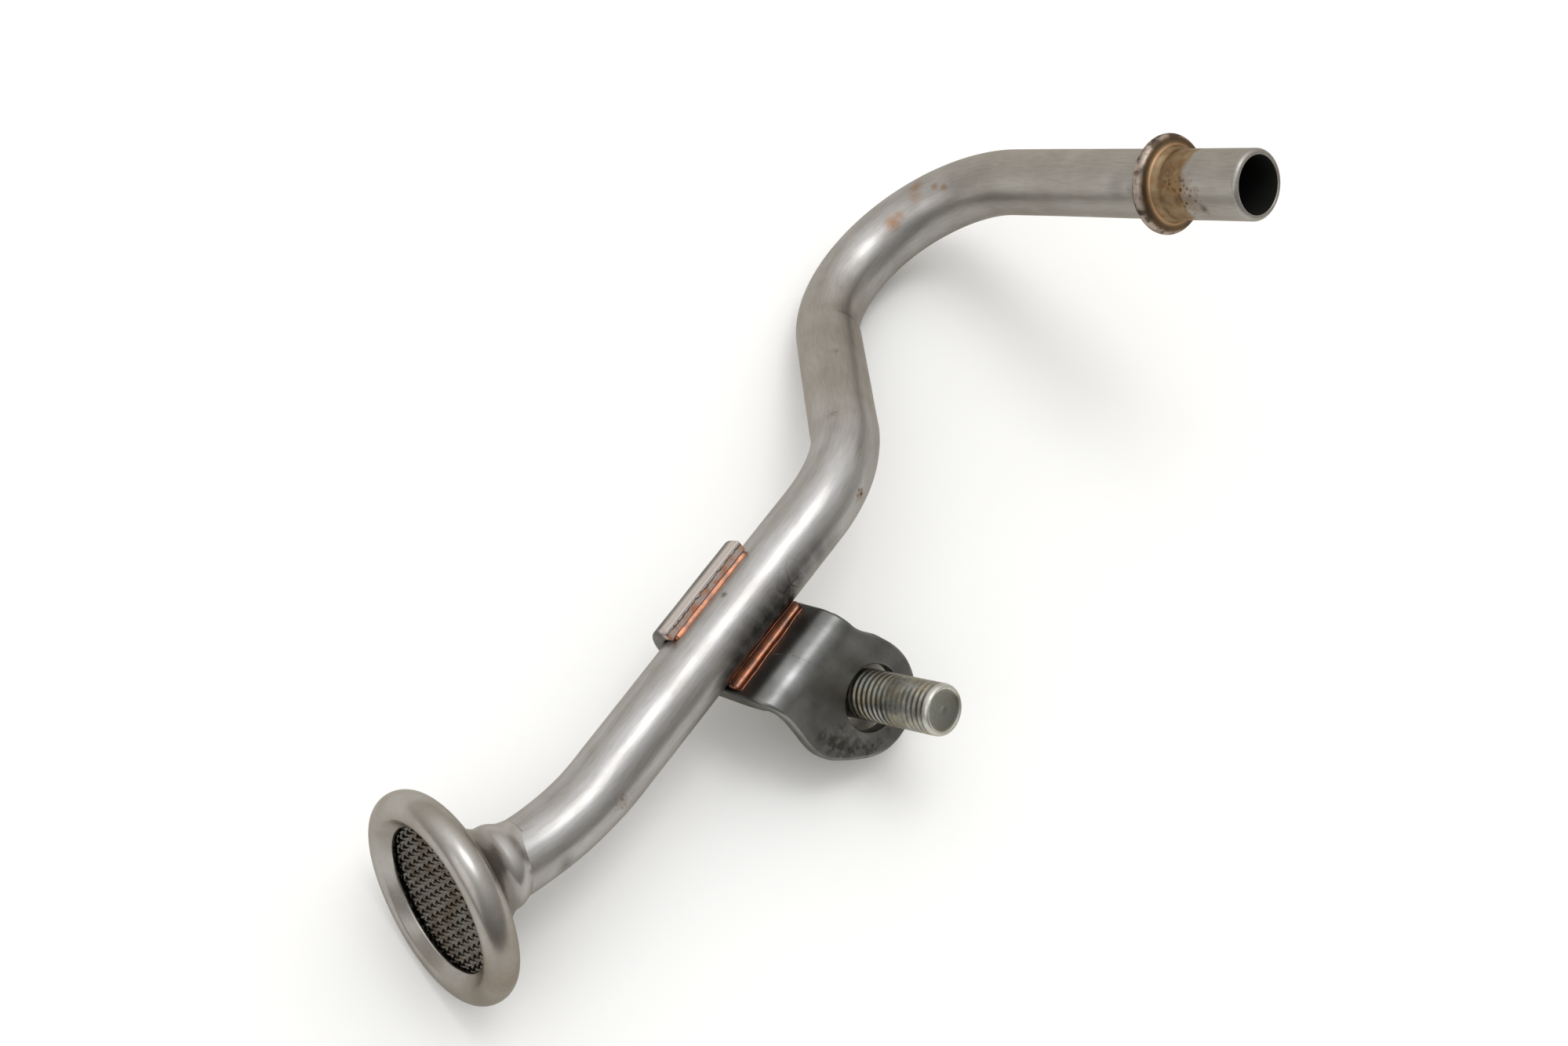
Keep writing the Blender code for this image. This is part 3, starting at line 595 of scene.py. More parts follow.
def bracket_fold(d, height):
    """Developed distance along the plate and height above its middle, taken to Y and Z.

    From the saddle's end it follows the circle round the tube, the leaning arm, the bend and the flat tab.
    Also gives the distances where circle, arm and bend end, and the bend's centre."""
    lean = math.radians(ARM_LEAN_DEG)
    half = PLATE / 2
    wrap_r = SADDLE_INNER_R + half
    bend_r = BEND_OUTER_R - half
    wrap = math.pi - lean
    face = -np.array([math.cos(lean), math.sin(lean)])
    arm = np.array([-math.sin(lean), math.cos(lean)])
    centre_z = TAB_FACE_Z - BEND_OUTER_R
    reach = (centre_z - (SADDLE_INNER_R + BEND_OUTER_R) * face[1]) / arm[1]
    centre = (SADDLE_INNER_R + BEND_OUTER_R) * face + reach * arm
    ends = np.cumsum([wrap_r * wrap, reach, bend_r * (math.pi / 2 - lean)])
    a = np.clip(d / wrap_r, 0, wrap)
    y = (wrap_r - height) * np.cos(a)
    z = -(wrap_r - height) * np.sin(a)
    on_arm = np.clip(d - ends[0], 0, reach)
    straight = d > ends[0]
    y = np.where(straight, face[0] * (wrap_r - height) + arm[0] * on_arm, y)
    z = np.where(straight, face[1] * (wrap_r - height) + arm[1] * on_arm, z)
    b = lean + np.clip((d - ends[1]) / bend_r, 0, math.pi / 2 - lean)
    bent = d > ends[1]
    y = np.where(bent, centre[0] + (bend_r + height) * np.cos(b), y)
    z = np.where(bent, centre[1] + (bend_r + height) * np.sin(b), z)
    flat = d > ends[2]
    y = np.where(flat, centre[0] - (d - ends[2]), y)
    z = np.where(flat, TAB_FACE_Z - half + height, z)
    return y, z, ends, centre


def bracket_outline():
    """Outline of the flat plate, as X and distance along the plate: strip, notch and rounded tab."""
    _, _, ends, centre = bracket_fold(np.array([0.0]), 0.0)
    tab = np.array([(x, ends[2] + centre[0] - y) for x, y in TAB_OUTLINE])
    right = np.array([
        (SADDLE_X[1], 0.0), (SADDLE_X[1] + 0.05, 6.0), (ARM_X[1] + 0.05, 13.0), (ARM_X[1] + 0.15, ends[1]),
    ])
    left = np.array([(ARM_X[0], ends[1]), (ARM_X[0] - 0.05, 13.0), (SADDLE_X[0], 6.0), (SADDLE_X[0], 0.0)])
    side = through(np.vstack([right, tab, left]), SIDE_POINTS)
    end = np.linspace(side[-1], side[0], END_POINTS)[1:-1]
    return np.vstack([side, end])


def make_bracket(material):
    """Plate with a hole: for each point of the outline a loop runs out from the hole over the front,
    round the edge, back behind and through the hole, and the flat pattern is then folded."""
    outline = bracket_outline()
    _, _, ends, centre = bracket_fold(np.array([0.0]), 0.0)
    hole = np.array([HOLE_CENTRE[0], ends[2] + centre[0] - HOLE_CENTRE[1]])
    step = np.roll(outline, -1, 0) - np.roll(outline, 1, 0)
    out = unit(np.stack([step[:, 1], -step[:, 0]], 1))
    if ((outline - hole) * out).sum(1).mean() < 0:
        out = -out
    ray = unit(outline - hole)
    half = PLATE / 2
    turn = np.linspace(0, np.pi / 2, 7)
    spread = np.linspace(0, 1, FACE_STEPS) ** 0.9
    inner = hole + (HOLE_R + HOLE_EDGE_R) * ray
    outer = outline - FRONT_EDGE_R * out
    behind = outline - BACK_EDGE_R * out
    rows, heights = [], []

    def add(p, h):
        rows.append(p)
        heights.append(np.full(len(outline), h))

    for t in spread:
        add(inner + (outer - inner) * t, half)
    for t in turn[1:]:
        add(outer + FRONT_EDGE_R * np.sin(t) * out, half - FRONT_EDGE_R * (1 - np.cos(t)))
    for t in turn[::-1][1:]:
        add(behind + BACK_EDGE_R * np.sin(t) * out, -half + BACK_EDGE_R * (1 - np.cos(t)))
    for t in spread[::-1][1:]:
        add(inner + (behind - inner) * t, -half)
    for t in turn[1:]:
        add(inner - HOLE_EDGE_R * np.sin(t) * ray, -half + HOLE_EDGE_R * (1 - np.cos(t)))
    for t in turn[::-1][:-1]:
        add(inner - HOLE_EDGE_R * np.sin(t) * ray, half - HOLE_EDGE_R * (1 - np.cos(t)))
    p = np.array(rows)
    h = np.array(heights)
    h = h + 0.012 * ripple(p[..., 0] * 0.4, p[..., 1] * 0.4, seed=21)
    y, z, _, _ = bracket_fold(p[..., 1], h)
    points = np.stack([p[..., 0], y, z], -1)
    faces = grid_quads(len(p), len(outline), close_rows=True).tolist()
    flat = points.reshape(-1, 3)
    marks = {
        "dark_marks": marked_by(flat, BRACKET_DARK),
        "grime_marks": marked_by(flat, BRACKET_GRIME),
        "end_face": smooth(-p[..., 1], -1.5, -0.9),
        "plate_mm": np.stack([p[..., 0], p[..., 1], h], -1),
    }
    fit_out(make_piece("bent_bracket", points, faces, marks), material, "bracket")


def make_fillet(name, section, x_range, thinning, seed, material, node):
    """Flowed braze: a section carried along X, thinner towards its far end, with lumps along it
    and both ends rounded off."""
    count, around = 220, 40
    x = np.linspace(x_range[0], x_range[1], count)[:, None]
    loop = through(section, around + 1, closed=True)[:-1]
    middle = loop.mean(0)
    share = np.linspace(0, 1, count)[:, None]
    rounded_share = 0.035
    size = np.minimum(1.0, np.sqrt(np.clip(np.minimum(share, 1 - share) / rounded_share, 0.0, 1.0)) + 0.02)
    size = size * (1 - thinning * share)
    flat = np.zeros((1, around))
    lumps = 1 + 0.05 * ripple(x * 0.8, flat, seed) + 0.02 * ripple(x * 3, flat, seed + 1)
    yz = middle + (loop - middle)[None] * (size * lumps)[..., None]
    rings = np.concatenate([np.broadcast_to(x, (count, around))[..., None], yz], -1)
    piece = make_piece(name, *closed_skin(rings))
    face_out(piece)
    fit_out(piece, material, node)


# Bolt with its thread


def make_bolt(material):
    """Flange bolt in one closed skin: radius and height along a profile, with the thread's zigzag
    following height minus turn, and the head's radius a rounded hexagon."""
    direction = unit(BOLT_DIRECTION)
    seat = np.array(BOLT_TIP) - BOLT_LENGTH * direction
    a = unit(np.cross(direction, [0.0, 1.0, 0.0]))
    b = np.cross(direction, a)
    end = through([
        (0.02, 0.38), (0.2, 0.36), (0.5, 0.32), (1.3, 0.29), (2.05, 0.22), (2.3, 0.1), (2.44, 0.03),
        (2.56, 0.03), (2.7, 0.14), (2.81, 0.36), (2.86, 0.64),
    ], 60)
    end[:, 1] = BOLT_LENGTH - end[:, 1]
    shank = np.array([(BOLT_R, h) for h in np.arange(BOLT_LENGTH - CHAMFER_HEIGHT, 0.3, -0.05)])
    flange = through([
        (2.9, 0.25), (3.15, 0.03), (3.4, 0.0), (5.9, 0.0), (6.12, -0.06), (6.2, -0.25), (6.2, -0.75),
        (6.08, -1.0), (4.75, -1.65),
    ], 60)
    head_h = np.concatenate([[-1.7], np.arange(-1.8, -5.9, -0.2), [-6.0, -6.08, -6.15, -HEAD_HEIGHT]])
    head = np.array([(HEAD_FLAT_R, h) for h in head_h])
    top = np.array([(r, -HEAD_HEIGHT) for r in (3.7, 3.3, 2.6, 1.6, 0.8, 0.03)])
    profile = np.vstack([end, shank, flange, head, top])
    kind = np.repeat(range(5), [len(k) for k in (end, shank, flange, head, top)])[:, None]
    angle = np.linspace(0, 2 * np.pi, BOLT_SIDES, endpoint=False)[None, :]
    r, h = (profile[:, i][:, None] + 0 * angle for i in (0, 1))
    # Thread: a sharp zigzag, cut from past the chamfer to near the seat, and worn in its middle
    turn = (h / THREAD_PITCH - angle / (2 * np.pi)) % 1.0
    tooth = np.clip(np.abs(turn - 0.5) * 2 * 1.25 - 0.06, 0, 1)
    cut = smooth(BOLT_LENGTH - h, 0.35, 1.3) * smooth(h, 0.9, 2.2)
    groove = (kind == 1) * (1 - tooth) * cut * (1 - 0.92 * bump(h, WORN_AT, WORN_WIDTH))
    r = r - THREAD_DEPTH * groove
    # Head: radius of a flat is its distance over the cosine of the angle, with corners and top rounded
    flat_angle = (angle + np.pi / 6) % (np.pi / 3) - np.pi / 6
    hexagon = np.minimum(HEAD_FLAT_R / np.cos(flat_angle), HEAD_CORNER_R)
    hexagon = np.minimum(hexagon, HEAD_TOP_R + 0.6 * np.clip((h + HEAD_HEIGHT) / 0.45, 0, 1))
    r = np.where(kind == 3, hexagon, r)
    rings = seat + h[..., None] * direction + r[..., None] * (
        np.cos(angle)[..., None] * a + np.sin(angle)[..., None] * b
    )
    flat, faces = closed_skin(rings)
    past_dish = smooth(r, *DISH_EDGE)
    dish = (h > BOLT_LENGTH - 0.6) * (1 - past_dish)
    rim = smooth(h, BOLT_LENGTH - CHAMFER_HEIGHT, BOLT_LENGTH - 0.6) * past_dish
    marks = {
        "groove": np.append(groove, [0.0, 0.0]),
        "dish": np.append(dish, [1.0, 0.0]),
        # The flange shares the rim's pale tint: painted light on a face that sits in shade behind the plate
        "rim": np.append(np.maximum(rim, 0.9 * (kind == 2)), [0.0, 0.0]),
        "pit": marked_by(flat, (BOLT_PIT,)),
    }
    piece = make_piece("flange_bolt", flat, faces, marks)
    face_out(piece)
    piece.data.set_sharp_from_angle(angle=math.radians(42))
    fit_out(piece, material, "bolt")


# Materials


def hex_colour(code):
    """sRGB hex to linear numbers: c plus 0.055, over 1.055, to the power 2.4, or c over 12.92 where small."""
    c = np.array([int(code[i:i + 2], 16) / 255 for i in (1, 3, 5)])
    c = np.where(c <= 0.04045, c / 12.92, ((c + 0.055) / 1.055) ** 2.4)
    return (*c.tolist(), 1.0)


def add_node(tree, kind, inputs=None, output=None, **settings):
    """Adds a node with its settings and links, and gives back one of its outputs.

    An input is a value, a hex colour or another node's output."""
    node = tree.nodes.new("ShaderNode" + kind)
    for key, value in settings.items():
        setattr(node, key, value)
    for key, value in (inputs or {}).items():
        if isinstance(value, bpy.types.NodeSocket):
            tree.links.new(value, node.inputs[key])
        else:
            node.inputs[key].default_value = hex_colour(value) if isinstance(value, str) else value
    if output:
        return node.outputs[output]
    return next(socket for socket in node.outputs if socket.enabled)


def object_mm(tree):
    """Object coordinates in millimetres, so that a noise's scale is its cells per millimetre."""
    where = add_node(tree, "TexCoord", output="Object")
    return add_node(tree, "Mapping", {"Vector": where, "Scale": (1 / MM, 1 / MM, 1 / MM)})


def tinted(tree, colour, tint, by, low, high, most=1.0):
    """Lays a tint over a colour where a number runs from low to high, up to a share of most."""
    share = add_node(tree, "MapRange", {0: by, 1: low, 2: high, 4: most})
    return add_node(tree, "Mix", {0: share, 6: colour, 7: tint}, data_type="RGBA")


def stained(tree, colour, noise, stains):
    """Lays stains over a colour: soft marks from an attribute, their borders broken by noise.

    Each stain has its attribute, its tint, how far noise moves its border, the mark strengths
    where it begins and is full, and its share there."""
    for name, tint, spread, low, high, most in stains:
        mark = add_node(tree, "Attribute", output="Fac", attribute_name=name)
        rough_edge = add_node(tree, "MapRange", {0: noise, 3: -0.5 * spread, 4: 0.5 * spread})
        rough_edge = add_node(tree, "Math", {0: rough_edge, 1: mark}, operation="MULTIPLY")
        found = add_node(tree, "Math", {0: mark, 1: rough_edge})
        colour = tinted(tree, colour, tint, found, low, high, most)
    return colour


def dotted(tree, colour, tint, dots, core, border, most, name):
    """Lays dots over a colour inside an attribute's marks: full up to core, gone at border."""
    mark = add_node(tree, "Attribute", output="Fac", attribute_name=name)
    dots = add_node(tree, "MapRange", {0: dots, 1: core, 2: border, 3: most, 4: 0.0})
    share = add_node(tree, "Math", {0: dots, 1: mark}, operation="MULTIPLY")
    return add_node(tree, "Mix", {0: share, 6: colour, 7: tint}, data_type="RGBA")


def new_material(name):
    """Bare metal to start from; the tint keeps grazing reflections from turning white."""
    material = bpy.data.materials.new(name)
    material.use_nodes = True
    tree = material.node_tree
    shader = tree.nodes["Principled BSDF"]
    shader.inputs["Metallic"].default_value = 1.0
    shader.inputs["Specular Tint"].default_value = hex_colour("#D2CDC6")
    return material, tree, shader


def finish_surface(tree, shader, colour, rough, height, strength, deep_mm):
    """Links the colour, the roughness, and a bump so many millimetres deep."""
    tree.links.new(colour, shader.inputs["Base Color"])
    tree.links.new(rough, shader.inputs["Roughness"])
    normal = add_node(tree, "Bump", {"Strength": strength, "Distance": deep_mm * MM, "Height": height})
    tree.links.new(normal, shader.inputs["Normal"])


def drawn_steel_tube():
    """Seam-welded steel tube, drawn and tumbled: grey satin with fine grain along the tube.

    Heat from upsetting the bead left bronze tints, and there are small rust and copper flecks."""
    material, tree, shader = new_material("drawn_steel_tube")
    place = add_node(tree, "Attribute", output="Vector", attribute_name="round_tube")
    along = add_node(tree, "Attribute", output="Fac", attribute_name="along_mm")
    where = object_mm(tree)
    cloud = add_node(tree, "TexNoise", {"Vector": place, "Scale": 0.2, "Detail": 5.0})
    drawn = add_node(tree, "Mapping", {"Vector": place, "Scale": (0.12, 1.0, 1.0)})
    grain = add_node(tree, "TexNoise", {"Vector": drawn, "Scale": 3.5, "Detail": 4.0})
    speck = add_node(tree, "TexNoise", {"Vector": where, "Scale": 2.6, "Detail": 4.0})
    patch = add_node(tree, "TexNoise", {"Vector": where, "Scale": 0.8, "Detail": 3.0})
    # Plain steel: two greys in soft clouds, browner on the later straights, with faint darker grain
    colour = tinted(tree, "#AEACAA", "#A4A19E", cloud, 0.35, 0.65)
    brown_steel = tinted(tree, "#A7A39D", "#9C9790", cloud, 0.35, 0.65)
    browner = add_node(tree, "Attribute", output="Fac", attribute_name="browner")
    colour = add_node(tree, "Mix", {0: browner, 6: colour, 7: brown_steel}, data_type="RGBA")
    colour = tinted(tree, colour, "#827C74", grain, 0.42, 0.75, 0.35)
    # Straw tint of the upset end, with a wandering border, and a bright line at the bead's foot
    edge = add_node(tree, "Math", {0: patch, 1: 2.0, 2: along}, operation="MULTIPLY_ADD")
    before = add_node(tree, "MapRange", {0: edge, 1: BEAD_AT - 1.2, 2: BEAD_AT + 0.8})
    after = add_node(tree, "MapRange", {0: edge, 1: BEAD_AT + 6.0, 2: BEAD_AT + 6.6, 3: 1.0, 4: 0.0})
    heat = add_node(tree, "Math", {0: before, 1: after}, operation="MULTIPLY")
    straw = tinted(tree, "#968262", "#7A5833", patch, 0.3, 0.7)
    colour = tinted(tree, colour, straw, heat, 0.0, 1.0, 0.9)
    line = add_node(tree, "Math", {0: along, 1: BEAD_AT + 0.98, 2: 0.13}, operation="COMPARE")
    colour = tinted(tree, colour, "#CBA27A", line, 0.0, 1.0, 0.6)
    # The bead itself: bronze flanks, a pinkish mottled crest, and near-black scale in places
    on_bead = add_node(tree, "Attribute", output="Fac", attribute_name="bead")
    crest = add_node(tree, "Attribute", output="Fac", attribute_name="crest")
    bronze = tinted(tree, "#352D24", "#5E4B37", patch, 0.36, 0.60)
    mottled = tinted(tree, "#50463F", "#A99B90", patch, 0.40, 0.56)
    bronze = add_node(tree, "Mix", {0: crest, 6: bronze, 7: mottled}, data_type="RGBA")
    colour = add_node(tree, "Mix", {0: on_bead, 6: colour, 7: bronze}, data_type="RGBA")
    # Stains; the dark marks are partly a smudge and partly painted reflection and painted shade
    colour = stained(tree, colour, speck, (
        ("copper_spots", "#93683F", 0.9, 0.10, 0.95, 0.75),
        ("brown_marks", "#7E5E3C", 1.3, 0.20, 0.80, 0.5),
        ("dark_marks", "#262422", 0.5, 0.05, 0.95, 0.93),
    ))
    # Rust pits inside the brown marks, and hairline scratches in the dark band beside the bracket, which is partly a
    # smudge and partly painted reflection and painted shade
    pits = add_node(tree, "TexVoronoi", {"Vector": where, "Scale": 1.7})
    colour = dotted(tree, colour, "#4E3018", pits, 0.26, 0.46, 1.0, "brown_marks")
    crack = add_node(tree, "TexVoronoi", {"Vector": where, "Scale": 0.42}, feature="DISTANCE_TO_EDGE")
    colour = dotted(tree, colour, "#2A2826", crack, 0.02, 0.06, 0.85, "hairlines")
    inside = add_node(tree, "Attribute", output="Fac", attribute_name="inside")
    colour = add_node(tree, "Mix", {0: inside, 6: colour, 7: "#3A3C38"}, data_type="RGBA")
    # Satin, duller where heat scaled it, past the drop bend, and most in the bore
    rough = add_node(tree, "MapRange", {0: cloud, 1: 0.3, 2: 0.7, 3: 0.3, 4: 0.37})
    past_drop = add_node(tree, "MapRange", {0: along, 1: BROWNER_ALONG[0], 2: BROWNER_ALONG[1]})
    for by, more in ((heat, 0.06), (past_drop, 0.05), (inside, 0.3)):
        rough = add_node(tree, "Math", {0: by, 1: more, 2: rough}, operation="MULTIPLY_ADD")
    height = add_node(tree, "Math", {0: grain, 1: speck})
    finish_surface(tree, shader, colour, rough, height, 0.3, 0.013)
    return material


def pressed_bell_steel():
    """Pressed and rolled sheet steel: smoother than the tube, with painted shade on the lower side of the roll."""
    material, tree, shader = new_material("pressed_bell_steel")
    place = add_node(tree, "Attribute", output="Vector", attribute_name="round_bell")
    cloud = add_node(tree, "TexNoise", {"Vector": place, "Scale": 0.22, "Detail": 4.0})
    speck = add_node(tree, "TexNoise", {"Vector": place, "Scale": 2.2, "Detail": 4.0})
    colour = tinted(tree, "#A8A5A0", "#97928B", cloud, 0.35, 0.65)
    colour = tinted(tree, colour, "#8A8178", speck, 0.5, 0.8, 0.25)
    # Painted shade in the hollow behind the roll, and as pale as the tube where the neck grips it
    behind = add_node(tree, "Attribute", output="Fac", attribute_name="behind_mm")
    colour = tinted(tree, colour, "#7D7974", behind, 1.6, 3.2, 0.75)
    colour = tinted(tree, colour, "#AAA7A3", behind, 5.0, 7.0)
    # Stains, and painted shade on the lower side of the roll
    colour = stained(tree, colour, speck, (
        ("rust_marks", "#6E4434", 0.9, 0.35, 0.85, 0.7),
        ("handled_marks", "#81776B", 0.4, 0.1, 0.9, 0.8),
        ("dark_marks", "#57534E", 0.7, 0.12, 0.95, 0.75),
    ))
    rough = add_node(tree, "MapRange", {0: cloud, 1: 0.3, 2: 0.7, 3: 0.24, 4: 0.33})
    finish_surface(tree, shader, colour, rough, speck, 0.25, 0.010)
    return material


def woven_wire():
    """Oily steel wire cloth: dull grey wires, darker and browner where oil has dried."""
    material, tree, shader = new_material("woven_steel_wire")
    speck = add_node(tree, "TexNoise", {"Vector": object_mm(tree), "Scale": 0.5, "Detail": 3.0})
    colour = tinted(tree, "#716E68", "#5C544A", speck, 0.4, 0.65)
    tree.links.new(colour, shader.inputs["Base Color"])
    shader.inputs["Roughness"].default_value = 0.36
    return material


def bracket_plate_steel():
    """Pressed steel plate, pickled dark grey: satin, a little pitted, sheared along its thin edge."""
    material, tree, shader = new_material("bracket_plate_steel")
    place = add_node(tree, "Attribute", output="Vector", attribute_name="plate_mm")
    cloud = add_node(tree, "TexNoise", {"Vector": place, "Scale": 0.22, "Detail": 4.0})
    brushed = add_node(tree, "Mapping", {"Vector": place, "Scale": (1.0, 0.2, 1.0)})
    speck = add_node(tree, "TexNoise", {"Vector": brushed, "Scale": 3.0, "Detail": 4.0})
    patch = add_node(tree, "TexNoise", {"Vector": place, "Scale": 0.9, "Detail": 4.0})
    colour = tinted(tree, "#858583", "#636360", cloud, 0.35, 0.65)
    colour = tinted(tree, colour, "#6A6965", speck, 0.5, 0.8, 0.3)
    grime = add_node(tree, "TexNoise", {"Vector": place, "Scale": 1.3, "Detail": 5.0})
    colour = stained(tree, colour, grime, (("grime_marks", "#35302A", 3.0, 0.35, 0.95, 0.75),))
    # Sheared end of the saddle: pale outer band, a jagged dark line, and a brown band beside the braze
    end_face = add_node(tree, "Attribute", output="Fac", attribute_name="end_face")
    across = add_node(tree, "SeparateXYZ", {0: place}, output="Z")
    jagged = add_node(tree, "TexNoise", {"Vector": place, "Scale": 1.6, "Detail": 4.0})
    across = add_node(tree, "Math", {0: jagged, 1: 0.7, 2: across}, operation="MULTIPLY_ADD")
    brown = tinted(tree, "#B9ABA2", "#B8846A", patch, 0.42, 0.60)
    sheared = tinted(tree, "#B4AAA3", brown, across, 0.0, 0.12)
    line = add_node(tree, "Math", {0: across, 1: 0.02, 2: 0.1}, operation="COMPARE")
    sheared = tinted(tree, sheared, "#3A3330", line, 0.0, 1.0, 0.8)
    colour = add_node(tree, "Mix", {0: end_face, 6: colour, 7: sheared}, data_type="RGBA")
    # Pits in the lower part of the tab: small round dots
    pits = add_node(tree, "TexVoronoi", {"Vector": place, "Scale": 1.1})
    colour = dotted(tree, colour, "#34322F", pits, 0.14, 0.32, 0.9, "dark_marks")
    metal = add_node(tree, "MapRange", {0: end_face, 3: 1.0, 4: 0.35})
    tree.links.new(metal, shader.inputs["Metallic"])
    rough = add_node(tree, "MapRange", {0: cloud, 1: 0.3, 2: 0.7, 3: 0.3, 4: 0.38})
    finish_surface(tree, shader, colour, rough, speck, 0.35, 0.02)
    return material


def flowed_copper(name, bright, dull):
    """Copper braze that flowed and froze: orange brown, darker where flux residue stayed.

    A thin glassy film of flux, the coat, gives it pale highlights."""
    material, tree, shader = new_material(name)
    shader.inputs["Coat Weight"].default_value = 1.0
    shader.inputs["Coat Roughness"].default_value = 0.07
    where = object_mm(tree)
    cloud = add_node(tree, "TexNoise", {"Vector": where, "Scale": 1.1, "Detail": 3.0})
    colour = tinted(tree, bright, dull, cloud, 0.38, 0.62)
    rough = add_node(tree, "MapRange", {0: cloud, 1: 0.3, 2: 0.7, 3: 0.3, 4: 0.4})
    ripples = add_node(tree, "TexNoise", {"Vector": where, "Scale": 3.0, "Detail": 2.0})
    finish_surface(tree, shader, colour, rough, ripples, 0.3, 0.03)
    return material


def zinc_plate():
    """Zinc plate on a bolt: silvery with straw tints, worn to grey in patches.

    The grooves and the dished end are dull, and the end's rim is bright; the flange, in shade behind the plate,
    takes the rim's pale tint as painted light."""
    material, tree, shader = new_material("zinc_plated_bolt")
    where = object_mm(tree)
    cloud = add_node(tree, "TexNoise", {"Vector": where, "Scale": 0.45, "Detail": 3.0})
    speck = add_node(tree, "TexNoise", {"Vector": where, "Scale": 2.4, "Detail": 4.0})
    worn = add_node(tree, "TexNoise", {"Vector": where, "Scale": 0.33, "Detail": 4.0, "Roughness": 0.6})
    colour = tinted(tree, "#A9AAA3", "#AEA690", cloud, 0.44, 0.60)
    colour = tinted(tree, colour, "#7F7E79", speck, 0.42, 0.66, 0.5)
    colour = tinted(tree, colour, "#5F605C", worn, 0.48, 0.60, 0.5)
    # The rim's pale tint also lightens the flange: painted light where it sits in shade
    for name, tint, most in (
        ("groove", "#56544D", 0.42), ("dish", "#74756D", 0.85), ("rim", "#D3D1C8", 0.6), ("pit", "#1E1C19", 0.95),
    ):
        mark = add_node(tree, "Attribute", output="Fac", attribute_name=name)
        colour = tinted(tree, colour, tint, mark, 0.15, 0.9, most)
    rough = add_node(tree, "MapRange", {0: speck, 1: 0.3, 2: 0.7, 3: 0.27, 4: 0.42})
    finish_surface(tree, shader, colour, rough, speck, 0.4, 0.02)
    return material


def pale_floor():
    """Matt white studio paper."""
    material, tree, shader = new_material("white_paper_floor")
    shader.inputs["Base Color"].default_value = hex_colour("#F7F6F3")
    shader.inputs["Metallic"].default_value = 0.0
    shader.inputs["Specular Tint"].default_value = (1.0, 1.0, 1.0, 1.0)
    shader.inputs["Roughness"].default_value = 0.9
    shader.inputs["Specular IOR Level"].default_value = 0.1
    return material


# Studio


def place_facing(made, right, up, back, place):
    """Links an object with its own X, Y and Z along three directions."""
    bpy.context.scene.collection.objects.link(made)
    matrix = np.identity(4)
    matrix[:3, :] = np.column_stack([right, up, back, place])
    made.matrix_world = Matrix(matrix.tolist())


def softbox(name, direction, distance, width, height, strength):
    """Area lamp of a given brightness that looks at the origin: power is brightness times area times pi."""
    data = bpy.data.lights.new(name, "AREA")
    data.shape = "RECTANGLE"
    data.size = width
    data.size_y = height
    data.energy = strength * width * height * math.pi
    back = unit(direction)
    right = unit(np.cross([0.0, 1.0, 0.0], back))
    place_facing(bpy.data.objects.new(name, data), right, np.cross(back, right), back, back * distance)


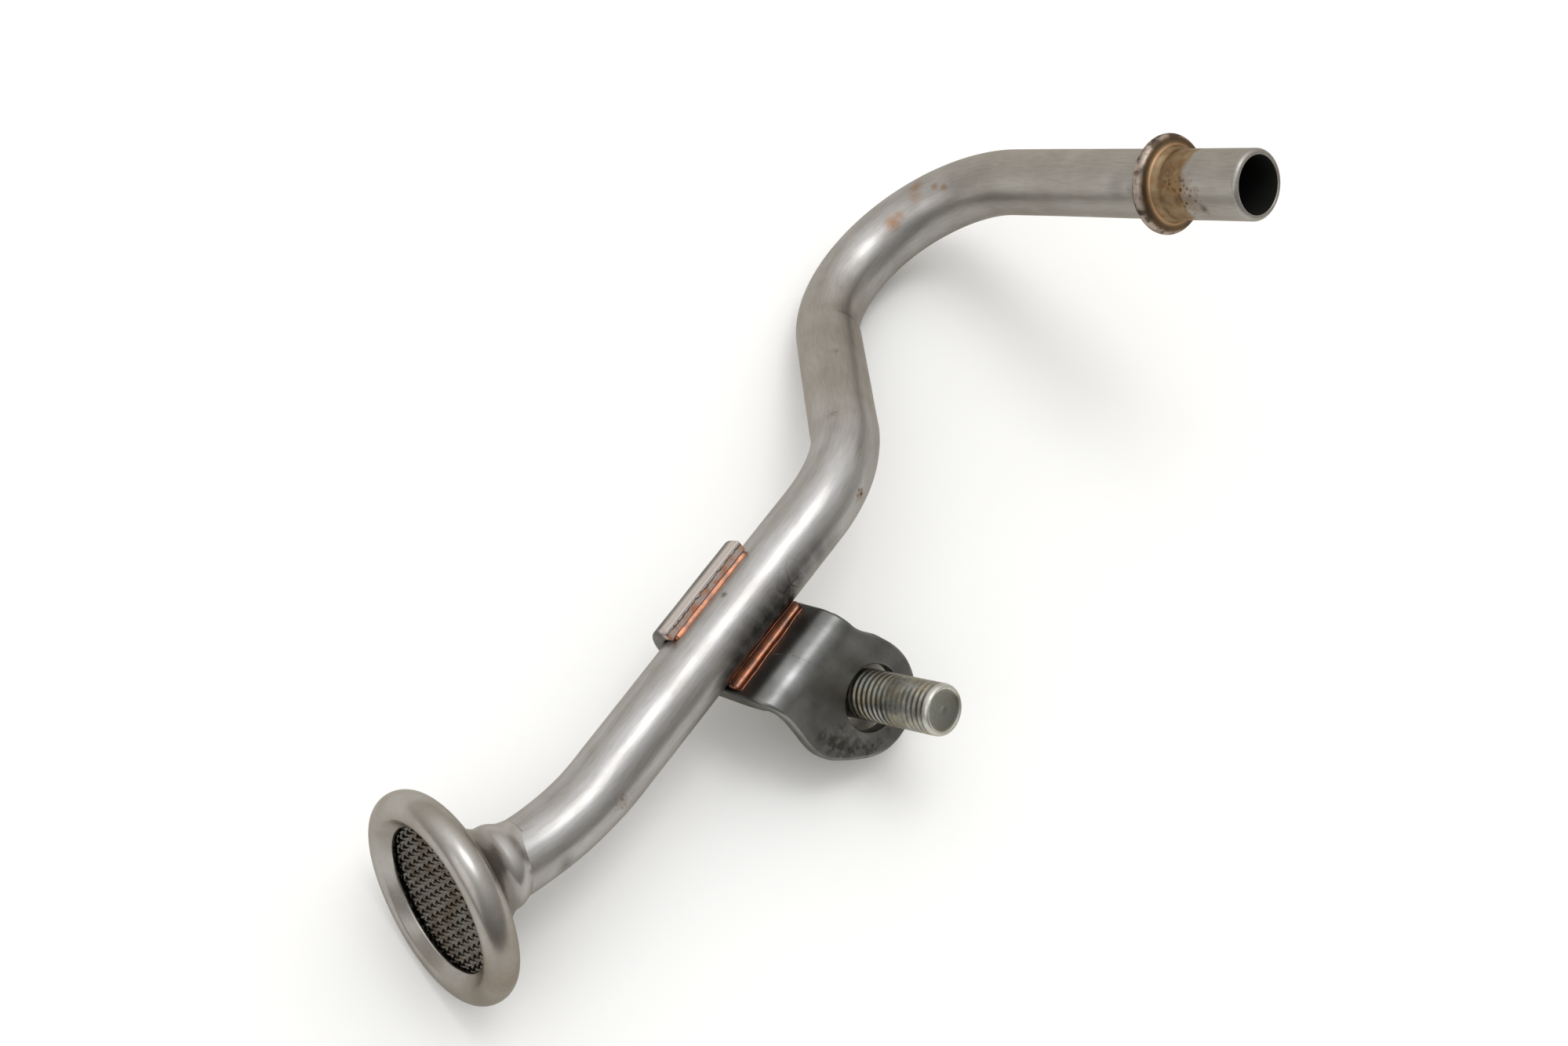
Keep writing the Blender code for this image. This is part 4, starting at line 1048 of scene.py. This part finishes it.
def build_studio():
    """Paper floor, a room whose light changes with height and side, and two softboxes."""
    floor_mesh = bpy.data.meshes.new("paper_floor")
    corners = [(FLOOR_HALF * x, FLOOR_HALF * y, 0) for x, y in ((-1, -1), (1, -1), (1, 1), (-1, 1))]
    floor_mesh.from_pydata(corners, [], [(0, 1, 2, 3)])
    floor = bpy.data.objects.new("paper_floor", floor_mesh)
    bpy.context.scene.collection.objects.link(floor)
    floor.data.materials.append(pale_floor())
    # Room: bright ceiling that fades and warms towards the horizon, lighter on the far right side
    world = bpy.data.worlds.new("studio_room")
    world.use_nodes = True
    tree = world.node_tree
    background = tree.nodes["Background"]
    where = add_node(tree, "TexCoord", output="Generated")
    height = add_node(tree, "SeparateXYZ", {0: where}, output="Z")
    level = add_node(tree, "ValToRGB", {0: height})
    stops = level.node.color_ramp.elements
    stops[0].position, stops[1].position = 0.0, 1.0
    for place, _, _ in ROOM_LIGHT[1:-1]:
        stops.new(place)
    for stop, (_, grey, warmth) in zip(stops, ROOM_LIGHT):
        stop.color = (grey * (1 + 0.057 * warmth), grey, grey * (1 - 0.073 * warmth), 1.0)
    toward = add_node(tree, "VectorMath", {0: where, 1: (0.707, 0.707, 0.0)}, operation="DOT_PRODUCT")
    side = add_node(tree, "MapRange", {0: toward, 1: -1.0, 2: 1.0, 3: 0.40, 4: 1.58})
    lit = add_node(tree, "VectorMath", {0: level, 1: side}, operation="MULTIPLY")
    tree.links.new(lit, background.inputs["Color"])
    background.inputs["Strength"].default_value = 2.0
    bpy.context.scene.world = world
    softbox("overhead_softbox", (0.17, -0.02, 1.0), 1.2, 0.42, 0.47, 3.7)
    softbox("left_reflector", (-0.76, 0.16, 0.55), 1.6, 1.1, 1.0, 0.95)


def build_camera():
    """The photograph's own camera, found again in the part's axes."""
    data = bpy.data.cameras.new("camera")
    data.sensor_fit = "HORIZONTAL"
    data.sensor_width = 36.0
    data.lens = FOCAL_PIXELS / IMAGE_WIDTH * 36.0
    data.clip_start = 0.01
    data.clip_end = 100.0
    camera = bpy.data.objects.new("camera", data)
    right = REST @ np.array(EYE_RIGHT)
    down = REST @ np.array(EYE_DOWN)
    place_facing(camera, right, -down, -np.cross(right, down), to_world(EYE))
    bpy.context.scene.camera = camera


bpy.context.scene.view_settings.view_transform = "Standard"
build_camera()
build_studio()

make_pipe(drawn_steel_tube())
make_bell(pressed_bell_steel())
make_screen(woven_wire())
make_bracket(bracket_plate_steel())
make_fillet(
    "edge_braze",
    [(3.80, 0.48), (3.98, 0.40), (4.14, 0.30), (4.30, 0.18), (4.42, 0.04), (4.3, -0.12), (4.1, -0.2), (3.8, 0.0)],
    x_range=(-28.9, -16.2), thinning=0.1, seed=31,
    material=flowed_copper("edge_braze_copper", "#8E5128", "#683A1C"), node="braze_fillet_edge",
)
make_fillet(
    "valley_braze",
    [(-4.25, 3.62), (-4.20, 3.27), (-3.99, 2.94), (-3.66, 2.73), (-3.35, 2.68), (-3.04, 2.73), (-2.74, 2.92),
     (-2.8, 2.68), (-3.25, 2.1), (-3.6, 1.4), (-4.4, 1.4), (-4.5, 2.5), (-4.45, 3.6)],
    x_range=(-28.5, -16.3), thinning=0.3, seed=41,
    material=flowed_copper("valley_braze_copper", "#834822", "#593016"), node="braze_fillet_valley",
)
make_bolt(zinc_plate())
